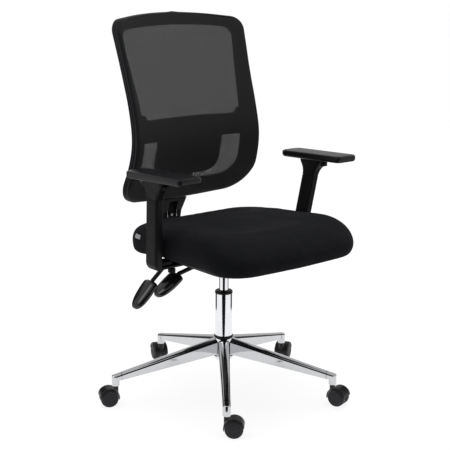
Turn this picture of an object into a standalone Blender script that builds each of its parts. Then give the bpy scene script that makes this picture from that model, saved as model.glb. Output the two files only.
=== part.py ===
"""Swivel office chair: chrome five-star base on twin-wheel casters, gas lift, tilting back
carrier, mesh back on a height slide, and height-adjustable arms.

Metres, +Z up, the sitter faces -Y.  The origin is on the floor under the middle of the chair's
box, and the swivel axis stands AXIS_X, AXIS_Y away from it.  Every other position in this file
is measured from the swivel axis, through the empty "chair".
"""
import math

import bmesh
import bpy
from mathutils import Matrix, Vector

# ---------------------------------------------------------------- driving dimensions
AXIS_X = -0.0036
AXIS_Y = -0.0198
GAP = 0.0003

# five-star base
LEG_COUNT = 5
BASE_TURN = math.radians(-128.2)      # heading of leg 1
STEM_CIRCLE = 0.320
LEG_ROOT_RADIUS = 0.0285
LEG_ROOT_TOP = 0.1645
LEG_TIP_TOP = 0.0905
LEG_ROOT_DEPTH = 0.046
LEG_TIP_DEPTH = 0.0185
LEG_ROOT_WIDTH = 0.033
LEG_TIP_WIDTH = 0.022
LEG_WALL = 0.0025
LEG_SHOULDER = 0.22                  # radius of a leg's upper edges, in leg widths
LEG_CROWN = 0.06                     # rise of its top between them, in leg widths
SOCKET_RADIUS = 0.011
SOCKET_BOTTOM = 0.0575
SOCKET_BORE = 0.0058
HUB_RADIUS = 0.0290
HUB_BOTTOM = 0.1075
HUB_TOP = 0.1662

# casters
WHEEL_RADIUS = 0.025
WHEEL_SIDES = 20
WHEEL_THICK = 0.0185
WEB_HALF = 0.0025
TRAIL = 0.020
HOOD_RADIUS = 0.0292
BOSS_RADIUS = 0.0075
BOSS_TOP = 0.0565
AXLE_RADIUS = 0.004
STEM_RADIUS = 0.0055
STEM_BOTTOM = 0.0470
STEM_TOP = 0.0835
# heading in which each caster trails behind its stem, in degrees
CASTER_HEADINGS = (-44, -74, 30, 72, 157)

# gas lift
COLUMN_RADIUS = 0.025
COLUMN_WALL = 0.002
COLUMN_BOTTOM = 0.0995
COLUMN_TOP = 0.2975
SLEEVE_LENGTH = 0.100
CYLINDER_RADIUS = 0.014
CYLINDER_WALL = 0.0022
CYLINDER_BOTTOM = 0.1725
CYLINDER_TOP = 0.4155
ROD_RADIUS = 0.005
PISTON_TOP = 0.3195

# seat
SEAT_HALF_WIDTH = 0.2535
SEAT_FRONT = -0.3340
SEAT_REAR = 0.180
SEAT_FRONT_CORNER = 0.102
SEAT_REAR_CORNER = 0.094
SEAT_HEIGHT = 0.062
SEAT_CAP = 1.28                       # height of the flat middle, in seat heights
# (depth y, how far the top and the underside rise there above a level seat)
SEAT_SADDLE = ((-0.334, -0.012, -0.006), (-0.290, 0.002, -0.005), (-0.260, 0.012, -0.003),
               (-0.230, 0.020, 0.001), (-0.190, 0.026, 0.003), (-0.150, 0.025, 0.002),
               (-0.100, 0.021, 0.000), (0.000, 0.015, 0.000), (0.040, 0.011, -0.004),
               (0.090, 0.006, -0.012), (0.180, 0.000, -0.013))
SEAT_BOTTOM = 0.4361
SHELL_BOTTOM = 0.4237
SHELL_THICK = 0.012
MECH_BOTTOM = 0.3755
MECH_TOP = 0.4230
MECH_HALF = 0.085
MECH_WALL = 0.004
MECH_FRONT = -0.085
MECH_REAR = 0.118
HINGE_Y = 0.097
HINGE_Z = 0.3925
PIN_RADIUS = 0.004

# arms: the post's axis passes through POST_POINT and leans out and forward going up
POST_POINT = Vector((0.2800, -0.0560, 0.6225))
POST_LEAN_OUT = 0.085
POST_LEAN_FORWARD = 0.152
POST_X = 0.022
POST_Y = 0.044
POST_CORNER = 0.006
SLEEVE_WALL = 0.0020
SLEEVE_TOP = 0.6140
SLEEVE_FLOOR = 0.4380
SLEEVE_TURN = 0.026
POST_BOTTOM = 0.4400
NECK_START = 0.6146
# (rise above the neck's start, how far it flares sideways, fore and aft, and how far it shifts)
NECK_FLARE = ((0.0, 0.0, 0.0, 0.0), (0.012, 0.0006, 0.0018, -0.0005), (0.022, 0.0018, 0.0060, -0.0015),
              (0.030, 0.0036, 0.0110, -0.0030), (0.037, 0.0056, 0.0160, -0.0040))
BLADE_THICK = 0.008
BLADE_INNER = 0.105
PAD_CENTRE_X = 0.277
PAD_HALF_WIDTH = 0.0375
PAD_FRONT = -0.204
PAD_REAR = 0.036
PAD_FRONT_TOP = 0.6890
PAD_REAR_TOP = 0.6800
PAD_THICK = 0.019
BUTTON_Z = 0.6510

# back: the rim's front edge, height against depth, and how far the middle sits behind it
BACK_PROFILE = ((0.52, 0.1955), (0.59, 0.1538), (0.65, 0.1214), (0.7275, 0.1046),
                (0.81, 0.1172), (0.91, 0.1478), (1.08, 0.2018))
BACK_SAG = 0.037
BACK_SAG_WIDTH = 0.216
RIM_DEPTH = 0.028
PANEL_SETBACK = 0.0075
PANEL_DEPTH = 0.014
HOUSING_DEPTH = 0.017
MESH_THICK = 0.0020
MESH_GAP = 0.0012
MESH_INSET = 0.006
# outlines: half of each, from the bottom centre to the top centre, as (x, z, corner radius)
RIM_OUTER = ((0.0, 0.5300, 1.1), (0.2345, 0.5540, 0.078), (0.2125, 0.8175, 2.2),
             (0.2285, 1.0560, 0.036), (0.0, 1.0830, 1.3))
RIM_INNER = ((0.0, 0.5900, 0.9), (0.1850, 0.6000, 0.052), (0.1735, 0.7575, 1.2),
             (0.2010, 1.0290, 0.026), (0.0, 1.0440, 1.8))
PANEL = ((0.0, 0.5475, 0.0), (0.0300, 0.5475, 0.0), (0.0300, 0.6135, 0.006),
         (0.1080, 0.6165, 0.038), (0.1060, 0.7245, 0.006), (0.1930, 0.7245, 0.0),
         (0.1930, 0.8005, 0.0), (0.1650, 0.8005, 0.004), (0.1630, 0.7835, 0.012),
         (0.0, 0.7855, 0.0))
# the housing behind the panel
HOUSING = ((0.0, 0.6190, 0.0), (0.1050, 0.6190, 0.036), (0.1050, 0.7500, 0.006), (0.0, 0.7500, 0.0))

# back carrier and spine bar
BAR_WIDTH = 0.040
BAR_THICK = 0.007
BAR_Y = 0.2583
BAR_TOP = 0.5875
BAR_BEND = 0.034
CARRIER_HALF = 0.029
CARRIER_FLARE = 0.044
CARRIER_BOTTOM = 0.4445
CARRIER_REAR = 0.2672
CARRIER_TOP = 0.6095
RIM_BOTTOM = 0.5355                   # underside of the rim at the middle

# levers, in the plane y = const: pivot, bend, paddle start, paddle tip as (x, z)
LIFT_LEVER = {"y": -0.020, "pivot": (-0.078, 0.3945), "bend": (-0.128, 0.3985),
              "start": (-0.180, 0.3850), "tip": (-0.252, 0.3385)}
TILT_LEVER = {"y": 0.060, "pivot": (-0.078, 0.3945), "bend": (-0.160, 0.3945),
              "start": (-0.2080, 0.3535), "tip": (-0.2680, 0.2880)}
LEVER_RADIUS = 0.0060
PADDLE_HALF_WIDTH = 0.0290
PADDLE_HALF_THICK = 0.0130


# ---------------------------------------------------------------- scene helpers
def clear_scene():
    for obj in list(bpy.data.objects):
        bpy.data.objects.remove(obj, do_unlink=True)


def material(name, colour, roughness, metallic=0.0):
    mat = bpy.data.materials.new(name)
    mat.use_nodes = True
    shader = mat.node_tree.nodes["Principled BSDF"]
    shader.inputs["Base Color"].default_value = (*colour, 1.0)
    shader.inputs["Roughness"].default_value = roughness
    shader.inputs["Metallic"].default_value = metallic
    mat.diffuse_color = (*colour, 1.0)
    return mat


def empty(name, parent=None, location=(0, 0, 0), turn=0.0):
    obj = bpy.data.objects.new(name, None)
    obj.empty_display_size = 0.02
    obj.parent = parent
    obj.location = location
    obj.rotation_euler = (0, 0, turn)
    bpy.context.scene.collection.objects.link(obj)
    return obj


def new_object(name, bm, mat, parent, location=(0, 0, 0), smooth=40):
    """Turn a bmesh into a named object with outward faces and smooth round surfaces."""
    bmesh.ops.recalc_face_normals(bm, faces=bm.faces)
    mesh = bpy.data.meshes.new(name)
    bm.to_mesh(mesh)
    bm.free()
    mesh.shade_smooth()
    mesh.set_sharp_from_angle(angle=math.radians(smooth))
    obj = bpy.data.objects.new(name, mesh)
    obj.parent = parent
    obj.location = location
    bpy.context.scene.collection.objects.link(obj)
    if mat is not None:
        mesh.materials.append(mat)
    return obj


def tool(name, bm, parent, location=(0, 0, 0)):
    """A shape that only takes part in a Boolean."""
    obj = new_object(name, bm, None, parent, location)
    obj.hide_render = True
    obj.display_type = "WIRE"
    return obj


def combine(obj, other, operation):
    mod = obj.modifiers.new(operation.lower() + "_" + other.name, "BOOLEAN")
    mod.operation = operation
    mod.solver = "EXACT"
    mod.object = other


def bevel(obj, width, segments=2, angle=30):
    mod = obj.modifiers.new("bevel", "BEVEL")
    mod.width = width
    mod.segments = segments
    mod.limit_method = "ANGLE"
    mod.angle_limit = math.radians(angle)


# ---------------------------------------------------------------- shape helpers
def box(low, high):
    bm = bmesh.new()
    size = Vector(high) - Vector(low)
    middle = (Vector(high) + Vector(low)) / 2
    bmesh.ops.create_cube(bm, size=1.0, matrix=Matrix.Translation(middle) @ Matrix.Diagonal((*size, 1.0)))
    return bm


def turned(profile, sides, closed=False):
    """Spin an (r, z) profile about Z.  An open profile starts and ends on the axis."""
    bm = bmesh.new()
    verts = [bm.verts.new((r, 0, z)) for r, z in profile]
    pairs = list(zip(verts, verts[1:]))
    if closed:
        pairs.append((verts[-1], verts[0]))
    edges = [bm.edges.new(pair) for pair in pairs]
    bmesh.ops.spin(bm, geom=verts + edges, cent=(0, 0, 0), axis=(0, 0, 1),
                   angle=math.tau, steps=sides, use_merge=True)
    bmesh.ops.remove_doubles(bm, verts=bm.verts, dist=0.00001)
    return bm


def loft(rings):
    """Skin a list of rings that all have the same number of points, and cap both ends."""
    bm = bmesh.new()
    rows = [[bm.verts.new(point) for point in ring] for ring in rings]
    for lower, upper in zip(rows, rows[1:]):
        for i in range(len(lower)):
            j = (i + 1) % len(lower)
            bm.faces.new((lower[i], lower[j], upper[j], upper[i]))
    bm.faces.new(rows[0])
    bm.faces.new(rows[-1])
    return bm


def prism(outline, offset):
    """Extrude a flat outline of 3-D points by a vector."""
    bm = bmesh.new()
    face = bm.faces.new([bm.verts.new(point) for point in outline])
    made = bmesh.ops.extrude_face_region(bm, geom=[face])
    moved = [item for item in made["geom"] if isinstance(item, bmesh.types.BMVert)]
    bmesh.ops.translate(bm, verts=moved, vec=offset)
    return bm


def fillet(before, corner, after, radius, steps):
    """Points of the arc of the given radius that rounds a corner between two straight runs."""
    if radius <= 0:
        return [corner]
    to_before = (before - corner).normalized()
    to_after = (after - corner).normalized()
    half = to_before.angle(to_after) / 2
    tangent = radius / math.tan(half)
    bisector = (to_before + to_after).normalized()
    centre = corner + bisector * (radius / math.sin(half))
    start = corner + to_before * tangent - centre
    end = corner + to_after * tangent - centre
    sweep = start.angle(end)
    points = []
    for step in range(steps + 1):
        t = step / steps
        arc = start * math.sin((1 - t) * sweep) + end * math.sin(t * sweep)
        points.append(centre + arc / math.sin(sweep))
    return points


def rounded_outline(corners, steps=4):
    """Closed outline from (x, y, radius) corners."""
    count = len(corners)
    flat = [Vector((c[0], c[1])) for c in corners]
    points = []
    for i, corner in enumerate(corners):
        points += fillet(flat[i - 1], flat[i], flat[(i + 1) % count], corner[2], steps)
    return points


def rounded_rectangle(half_x, half_y, radius, steps=3):
    return rounded_outline(((-half_x, -half_y, radius), (half_x, -half_y, radius),
                            (half_x, half_y, radius), (-half_x, half_y, radius)), steps)


def mirrored_outline(half, steps=6):
    """Closed outline from the half that runs from its bottom centre to its top centre."""
    other = [(-x, z, r) for x, z, r in reversed(half[1:-1])]
    return rounded_outline(list(half) + other, steps)


def even_spaced(outline, count):
    """The outline walked at equal steps, starting from its first point."""
    lengths = [0.0]
    closed = outline + [outline[0]]
    for a, b in zip(closed, closed[1:]):
        lengths.append(lengths[-1] + (b - a).length)
    points = []
    k = 0
    for step in range(count):
        target = lengths[-1] * step / count
        while lengths[k + 1] < target:
            k += 1
        share = (target - lengths[k]) / (lengths[k + 1] - lengths[k])
        points.append(closed[k].lerp(closed[k + 1], share))
    return points


def smooth_curve(keys, x):
    """Value at x of the smooth curve through (x, y) keys."""
    last = len(keys) - 1
    i = 0
    while i < last - 1 and x > keys[i + 1][0]:
        i += 1
    slopes = []
    for k in (i, i + 1):
        low = keys[max(k - 1, 0)]
        high = keys[min(k + 1, last)]
        slopes.append((high[1] - low[1]) / (high[0] - low[0]))
    span = keys[i + 1][0] - keys[i][0]
    t = (x - keys[i][0]) / span
    if not 0.0 <= t <= 1.0:
        near = 0 if t < 0 else 1
        return keys[i + near][1] + slopes[near] * (x - keys[i + near][0])
    return ((2 * t**3 - 3 * t**2 + 1) * keys[i][1] + (t**3 - 2 * t**2 + t) * span * slopes[0]
            + (3 * t**2 - 2 * t**3) * keys[i + 1][1] + (t**3 - t**2) * span * slopes[1])


# ---------------------------------------------------------------- five-star base
def leg_section(width, top, depth, radius):
    """Cross-section of a leg at a radius from the swivel: straight sides under a gently crowned top."""
    shoulder = LEG_SHOULDER * width
    flank = width / 2 - shoulder
    spring = top - LEG_CROWN * width - shoulder
    steps = 4
    right = [(width / 2, top - depth)]
    for step in range(steps + 1):
        angle = 0.5 * math.pi * step / steps
        right.append((flank + math.cos(angle) * shoulder, spring + math.sin(angle) * shoulder))
    left = [Vector((radius, -y, z)) for y, z in right]
    return left + [Vector((radius, 0, top))] + [Vector((radius, y, z)) for y, z in reversed(right)]


def leg_loft(inset, overrun):
    """The leg's pressed shape, or with an inset the hollow inside it."""
    rings = []
    for radius, width, top, depth in ((LEG_ROOT_RADIUS, LEG_ROOT_WIDTH, LEG_ROOT_TOP, LEG_ROOT_DEPTH),
                                      (STEM_CIRCLE, LEG_TIP_WIDTH, LEG_TIP_TOP, LEG_TIP_DEPTH)):
        rings.append(leg_section(width - 2 * inset, top - inset, depth - inset + overrun, radius))
    if inset:
        slope = (LEG_TIP_TOP - LEG_ROOT_TOP) / (STEM_CIRCLE - LEG_ROOT_RADIUS)
        for ring, shift in ((rings[0], 0.006), (rings[1], -0.016)):
            for point in ring:
                point.x += shift
                point.z += shift * slope
    return loft(rings)


def build_leg(index, chair, chrome):
    turn = BASE_TURN + index * math.tau / LEG_COUNT
    pivot = empty("leg_%d_place" % index, chair, turn=turn)
    leg = new_object("base_leg_%d" % (index + 1), leg_loft(0, 0), chrome, pivot)
    trim = tool("leg_root_trim_%d" % index,
                turned(((0, 0.05), (HUB_RADIUS + GAP, 0.05), (HUB_RADIUS + GAP, 0.25), (0, 0.25)), 32),
                pivot)
    combine(leg, trim, "DIFFERENCE")
    hollow = tool("leg_hollow_%d" % index, leg_loft(LEG_WALL, 0.01), pivot)
    combine(leg, hollow, "DIFFERENCE")
    socket = tool("leg_socket_%d" % index,
                  turned(((0, SOCKET_BOTTOM), (SOCKET_RADIUS, SOCKET_BOTTOM),
                          (SOCKET_RADIUS, LEG_TIP_TOP - 0.0050), (SOCKET_RADIUS - 0.003, LEG_TIP_TOP - 0.0013),
                          (0, LEG_TIP_TOP - 0.0013)), 18),
                  pivot, (STEM_CIRCLE, 0, 0))
    combine(leg, socket, "UNION")
    bore = tool("leg_bore_%d" % index,
                turned(((0, 0.04), (SOCKET_BORE, 0.04), (SOCKET_BORE, STEM_TOP + GAP),
                        (0, STEM_TOP + GAP)), 12),
                pivot, (STEM_CIRCLE, 0, 0))
    combine(leg, bore, "DIFFERENCE")


def build_base(chair, chrome, black):
    bore = COLUMN_RADIUS + GAP
    hub = ((bore, HUB_BOTTOM), (HUB_RADIUS - 0.0015, HUB_BOTTOM), (HUB_RADIUS, HUB_BOTTOM + 0.0015),
           (HUB_RADIUS, HUB_TOP - 0.002), (HUB_RADIUS - 0.002, HUB_TOP), (bore, HUB_TOP))
    new_object("base_hub", turned(hub, 32, closed=True), chrome, chair)
    ring_bottom = HUB_TOP + GAP
    ring = ((bore, ring_bottom), (0.0272, ring_bottom), (0.0272, ring_bottom + 0.0056),
            (0.0262, ring_bottom + 0.0070), (bore, ring_bottom + 0.0070))
    new_object("hub_ring", turned(ring, 28, closed=True), black, chair)
    for index in range(LEG_COUNT):
        build_leg(index, chair, chrome)


# ---------------------------------------------------------------- gas lift
def build_column(chair, chrome, black, nylon):
    inner = COLUMN_RADIUS - COLUMN_WALL
    tube = ((ROD_RADIUS + GAP, COLUMN_BOTTOM), (COLUMN_RADIUS, COLUMN_BOTTOM),
            (COLUMN_RADIUS, COLUMN_TOP), (inner, COLUMN_TOP), (inner, COLUMN_BOTTOM + 0.004),
            (ROD_RADIUS + GAP, COLUMN_BOTTOM + 0.004))
    new_object("column_tube", turned(tube, 32, closed=True), chrome, chair)
    bore = CYLINDER_RADIUS + GAP
    sleeve_radius = inner - GAP
    low = COLUMN_TOP - SLEEVE_LENGTH
    sleeve = ((bore, low), (sleeve_radius, low), (sleeve_radius, COLUMN_TOP - GAP),
              (bore, COLUMN_TOP - GAP))
    new_object("guide_sleeve", turned(sleeve, 24, closed=True), nylon, chair)
    low = COLUMN_TOP + GAP
    collar = ((bore, low), (COLUMN_RADIUS + 0.0005, low), (COLUMN_RADIUS + 0.0005, low + 0.005),
              (COLUMN_RADIUS - 0.002, low + 0.0075), (bore, low + 0.0075))
    new_object("column_collar", turned(collar, 28, closed=True), black, chair)


def build_lift(chair, lift, steel):
    floor = COLUMN_BOTTOM + 0.004
    bearing = ((ROD_RADIUS + GAP, floor + GAP), (0.0130, floor + GAP), (0.0130, floor + 0.006),
               (ROD_RADIUS + GAP, floor + 0.006))
    new_object("thrust_bearing", turned(bearing, 20, closed=True), steel, chair)
    shoulder = floor + 0.006 + GAP
    bore = CYLINDER_RADIUS - CYLINDER_WALL
    clip = COLUMN_BOTTOM - 0.006
    rod = ((0, clip), (0.0095, clip), (0.0095, clip + 0.005), (ROD_RADIUS, clip + 0.0055),
           (ROD_RADIUS, shoulder), (0.0100, shoulder), (0.0100, shoulder + 0.005),
           (ROD_RADIUS, shoulder + 0.006), (ROD_RADIUS, PISTON_TOP - 0.012),
           (bore - GAP, PISTON_TOP - 0.012), (bore - GAP, PISTON_TOP), (0, PISTON_TOP))
    new_object("gas_rod", turned(rod, 14), steel, lift)


def build_cylinder(seat, chrome):
    """The pressure tube: open below, closed where its taper sits in the mechanism."""
    bore = CYLINDER_RADIUS - CYLINDER_WALL
    bore_top = CYLINDER_TOP - 0.010
    tube = ((0, bore_top), (bore, bore_top), (bore, CYLINDER_BOTTOM),
            (CYLINDER_RADIUS - 0.001, CYLINDER_BOTTOM), (CYLINDER_RADIUS, CYLINDER_BOTTOM + 0.001),
            (CYLINDER_RADIUS, CYLINDER_TOP - 0.048), (CYLINDER_RADIUS - 0.002, CYLINDER_TOP - 0.002),
            (CYLINDER_RADIUS - 0.004, CYLINDER_TOP), (0, CYLINDER_TOP))
    new_object("gas_cylinder", turned(tube, 28), chrome, seat)


# ---------------------------------------------------------------- casters
def wheel_mesh():
    """A wheel about its own Z axis, its blind axle bore opening at z = 0."""
    rim = WHEEL_RADIUS / math.cos(math.pi / WHEEL_SIDES)
    bore = AXLE_RADIUS + GAP
    profile = ((0, 0.0155), (bore, 0.0155), (bore, 0), (rim - 0.0018, 0), (rim, 0.0018),
               (rim, WHEEL_THICK - 0.0025), (rim - 0.0025, WHEEL_THICK), (0, WHEEL_THICK))
    return turned(profile, WHEEL_SIDES)


def hood_outline(radius):
    """Side view of the hood: an arch over the axle, its stem side reaching lower."""
    centre = Vector((TRAIL, WHEEL_RADIUS))
    points = []
    steps = 9
    for step in range(steps + 1):
        angle = math.radians(-8 + 176 * step / steps)
        points.append(centre + Vector((-math.cos(angle), math.sin(angle))) * radius)
    return points


def across(points, y):
    return [Vector((p.x, y, p.y)) for p in points]


def build_caster(index, chair, plastic, tread, steel):
    turn = BASE_TURN + index * math.tau / LEG_COUNT
    place = (math.cos(turn) * STEM_CIRCLE, math.sin(turn) * STEM_CIRCLE, 0)
    number = index + 1
    pivot = empty("caster_%d" % number, chair, place, math.radians(CASTER_HEADINGS[index]))
    hood_half = WEB_HALF + GAP + WHEEL_THICK - 0.0008
    shell = prism(across(hood_outline(HOOD_RADIUS), -hood_half), (0, 2 * hood_half, 0))
    housing = new_object("caster_%d_housing" % number, shell, plastic, pivot)
    boss = turned(((0, BOSS_TOP - 0.026), (BOSS_RADIUS, BOSS_TOP - 0.026), (BOSS_RADIUS, BOSS_TOP),
                   (0, BOSS_TOP)), 16)
    combine(housing, tool("caster_boss_%d" % index, boss, pivot), "UNION")
    cavity_radius = WHEEL_RADIUS / math.cos(math.pi / WHEEL_SIDES) + 0.0006
    for side in (-1, 1):
        low = side * WEB_HALF
        cavity = turned(((0, 0), (cavity_radius, 0), (cavity_radius, 0.03), (0, 0.03)), 20)
        bmesh.ops.rotate(cavity, verts=cavity.verts, cent=(0, 0, 0),
                         matrix=Matrix.Rotation(-side * math.pi / 2, 3, "X"))
        combine(housing, tool("caster_cavity_%d_%d" % (index, side), cavity, pivot,
                              (TRAIL, low, WHEEL_RADIUS)), "DIFFERENCE")
    web = turned(((0, -WEB_HALF), (0.0125, -WEB_HALF), (0.0125, WEB_HALF), (0, WEB_HALF)), 16)
    bmesh.ops.rotate(web, verts=web.verts, cent=(0, 0, 0), matrix=Matrix.Rotation(math.pi / 2, 3, "X"))
    combine(housing, tool("caster_web_%d" % index, web, pivot, (TRAIL, 0, WHEEL_RADIUS)), "UNION")
    socket = turned(((0, STEM_BOTTOM - GAP), (STEM_RADIUS + GAP, STEM_BOTTOM - GAP),
                     (STEM_RADIUS + GAP, BOSS_TOP + 0.01), (0, BOSS_TOP + 0.01)), 12)
    combine(housing, tool("caster_stem_hole_%d" % index, socket, pivot), "DIFFERENCE")
    bore = turned(((0, -0.02), (AXLE_RADIUS + GAP, -0.02), (AXLE_RADIUS + GAP, 0.02), (0, 0.02)), 12)
    bmesh.ops.rotate(bore, verts=bore.verts, cent=(0, 0, 0), matrix=Matrix.Rotation(math.pi / 2, 3, "X"))
    combine(housing, tool("caster_bore_%d" % index, bore, pivot, (TRAIL, 0, WHEEL_RADIUS)), "DIFFERENCE")

    stem = turned(((0, STEM_BOTTOM), (STEM_RADIUS, STEM_BOTTOM),
                   (STEM_RADIUS, STEM_TOP), (0, STEM_TOP)), 12)
    new_object("caster_%d_stem" % number, stem, steel, pivot)

    axle_half = WEB_HALF + 0.0145
    axle = turned(((0, -axle_half), (AXLE_RADIUS, -axle_half), (AXLE_RADIUS, axle_half), (0, axle_half)), 12)
    bmesh.ops.rotate(axle, verts=axle.verts, cent=(0, 0, 0), matrix=Matrix.Rotation(math.pi / 2, 3, "X"))
    new_object("caster_%d_axle" % number, axle, steel, pivot, (TRAIL, 0, WHEEL_RADIUS))

    for side, letter in ((-1, "a"), (1, "b")):
        wheel = wheel_mesh()
        bmesh.ops.rotate(wheel, verts=wheel.verts, cent=(0, 0, 0),
                         matrix=Matrix.Rotation(math.pi / WHEEL_SIDES, 3, "Z"))
        bmesh.ops.rotate(wheel, verts=wheel.verts, cent=(0, 0, 0),
                         matrix=Matrix.Rotation(-side * math.pi / 2, 3, "X"))
        new_object("caster_%d_wheel_%s" % (number, letter), wheel, tread, pivot,
                   (TRAIL, side * (WEB_HALF + GAP), WHEEL_RADIUS))


# ---------------------------------------------------------------- seat
def seat_outline(inset, steps=7):
    """Plan of the seat at an inset from its widest line: a little narrower at the rear."""
    wide = SEAT_HALF_WIDTH - inset
    front = SEAT_FRONT + inset
    rear = SEAT_REAR - inset
    shrink = (wide / SEAT_HALF_WIDTH) ** 2
    right = ((0, front, 1.2 * shrink), (wide + 0.003, front + 0.012, SEAT_FRONT_CORNER - 0.5 * inset),
             (wide - 0.001, -0.05, 0.8 * shrink), (wide - 0.016, rear - 0.004, SEAT_REAR_CORNER - 0.5 * inset))
    left = tuple((-x, y, radius) for x, y, radius in right[:0:-1])
    return rounded_outline(right + ((0, rear, shrink),) + left, steps)


def seat_rise(y, share):
    """Height added at depth y: the underside's rise at share 0, the top's rise at share 1."""
    top = smooth_curve([(key[0], key[1]) for key in SEAT_SADDLE], y)
    under = smooth_curve([(key[0], key[2]) for key in SEAT_SADDLE], y)
    return under + (top - under) * share


def build_seat(seat, fabric, plastic):
    flat = 0.0
    # (inset from the widest line, share of the height, weight of the saddle, its share of the top's rise)
    stations = ((0.042, 0.00, flat, 0.0), (0.026, 0.00, 1.0, 0.0), (0.009, 0.14, 1.0, 0.0),
                (0.000, 0.42, 1.0, 0.3), (0.002, 0.70, 1.0, 0.7), (0.012, 0.89, 1.0, 1.0),
                (0.034, 1.00, 1.0, 1.0), (0.110, 1.06, 1.0, 0.8), (0.150, SEAT_CAP, flat, 0.0))
    rings = []
    for inset, height, weight, share in stations:
        level = SEAT_BOTTOM + height * SEAT_HEIGHT
        rings.append([Vector((p.x, p.y, level + weight * seat_rise(p.y, share)))
                      for p in seat_outline(inset)])
    new_object("seat_cushion", loft(rings), fabric, seat)

    lower = [Vector((p.x, p.y, SHELL_BOTTOM)) for p in seat_outline(0.056)]
    upper = [Vector((p.x, p.y, SHELL_BOTTOM + SHELL_THICK)) for p in seat_outline(0.044)]
    new_object("seat_shell", loft((lower, upper)), plastic, seat)


# ---------------------------------------------------------------- tilt mechanism
def build_mechanism(seat, steel):
    body = new_object("mechanism_body", box((-MECH_HALF, MECH_FRONT, MECH_BOTTOM),
                                            (MECH_HALF, MECH_REAR, MECH_TOP)), steel, seat)
    bevel(body, 0.003, 2)
    wall = MECH_WALL
    hollow = box((-MECH_HALF + wall, 0.040, MECH_BOTTOM + wall),
                 (MECH_HALF - wall, MECH_REAR + 0.02, MECH_TOP - wall))
    combine(body, tool("mechanism_hollow", hollow, seat), "DIFFERENCE")
    front_hollow = box((-MECH_HALF + wall, MECH_FRONT + wall, MECH_BOTTOM - 0.01),
                       (MECH_HALF - wall, -0.028, MECH_TOP - wall))
    combine(body, tool("mechanism_front_hollow", front_hollow, seat), "DIFFERENCE")
    taper = turned(((0, MECH_BOTTOM - 0.01), (CYLINDER_RADIUS + GAP, MECH_BOTTOM - 0.01),
                    (CYLINDER_RADIUS + GAP, CYLINDER_TOP + GAP), (0, CYLINDER_TOP + GAP)), 28)
    combine(body, tool("mechanism_taper", taper, seat), "DIFFERENCE")
    pin_hole = cross_rod(0.2, PIN_RADIUS + GAP, 12)
    combine(body, tool("mechanism_pin_hole", pin_hole, seat, (0, HINGE_Y, HINGE_Z)), "DIFFERENCE")
    for name, lever in (("lift", LIFT_LEVER), ("tilt", TILT_LEVER)):
        x, z = lever["pivot"]
        hole = cross_rod(0.06, LEVER_RADIUS + 0.0025, 12)
        combine(body, tool("mechanism_%s_hole" % name, hole, seat, (x - 0.017, lever["y"], z)), "DIFFERENCE")
    new_object("recline_pin", cross_rod(2 * MECH_HALF + 0.008, PIN_RADIUS, 12), steel, seat,
               (0, HINGE_Y, HINGE_Z))


def cross_rod(length, radius, sides):
    """A rod along X, centred on its own origin."""
    bm = turned(((0, -length / 2), (radius, -length / 2), (radius, length / 2), (0, length / 2)), sides)
    bmesh.ops.rotate(bm, verts=bm.verts, cent=(0, 0, 0), matrix=Matrix.Rotation(math.pi / 2, 3, "Y"))
    return bm


# ---------------------------------------------------------------- levers
def lever_path(lever):
    """Centre line from the pivot, along the shaft and down to the paddle, in world X and Z."""
    pivot = Vector(lever["pivot"])
    bend = Vector(lever["bend"])
    start = Vector(lever["start"])
    into_paddle = (Vector(lever["tip"]) - start).normalized() * LEVER_RADIUS
    return [pivot] + fillet(pivot, bend, start, 0.045, 4) + [start - into_paddle, start]


def tube_rings(path, radii, sides):
    """Round rings across a path of (x, z) points in a plane of constant y."""
    rings = []
    for i, point in enumerate(path):
        before = path[max(i - 1, 0)]
        after = path[min(i + 1, len(path) - 1)]
        along = (after - before).normalized()
        across_path = Vector((-along.y, along.x))
        ring = []
        for k in range(sides):
            angle = math.tau * k / sides
            flat = point + across_path * math.cos(angle) * radii[i][0]
            ring.append(Vector((flat.x, math.sin(angle) * radii[i][1], flat.y)))
        rings.append(ring)
    return rings


def build_lever(name, lever, seat, plastic, gloss):
    """A ribbed shaft and a leaf-shaped paddle, on a pivot at the mechanism's side."""
    x, z = lever["pivot"]
    pivot = empty(name + "_pivot", seat, (x, lever["y"], z))
    origin = Vector((x, z))
    path = [point - origin for point in lever_path(lever)]
    shaft = tube_rings(path, [(LEVER_RADIUS, LEVER_RADIUS)] * len(path), 12)
    new_object(name + "_shaft", loft(shaft), plastic, pivot)
    start = Vector(lever["start"]) - origin
    tip = Vector(lever["tip"]) - origin
    along = (tip - start).normalized()
    start += along * GAP
    length = (tip - start).length
    stations = []
    radii = []
    for t, wide, thick in ((0.0, 0.72, 0.66), (0.05, 0.92, 0.86), (0.20, 1.0, 1.0), (0.45, 0.98, 1.0),
                           (0.68, 0.88, 0.92), (0.85, 0.70, 0.76), (0.95, 0.46, 0.52), (1.0, 0.20, 0.22)):
        stations.append(start + along * length * t)
        radii.append((PADDLE_HALF_THICK * thick, PADDLE_HALF_WIDTH * wide))
    new_object(name + "_paddle", loft(tube_rings(stations, radii, 14)), gloss, pivot)


# ---------------------------------------------------------------- arms
def post_axis(side, z):
    """Point on the post's axis at height z, and the axis direction."""
    rise = z - POST_POINT.z
    x = side * (POST_POINT.x + POST_LEAN_OUT * rise)
    return Vector((x, POST_POINT.y - POST_LEAN_FORWARD * rise, z))


def post_ring(side, z, half_x, half_y, corner, shift_x=0.0, shift_y=0.0):
    centre = post_axis(side, z)
    return [Vector((centre.x + shift_x + p.x, centre.y + shift_y + p.y, z))
            for p in rounded_rectangle(half_x, half_y, corner)]


def pad_underside(y):
    share = (y - PAD_FRONT) / (PAD_REAR - PAD_FRONT)
    return PAD_FRONT_TOP + (PAD_REAR_TOP - PAD_FRONT_TOP) * share - PAD_THICK


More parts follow.
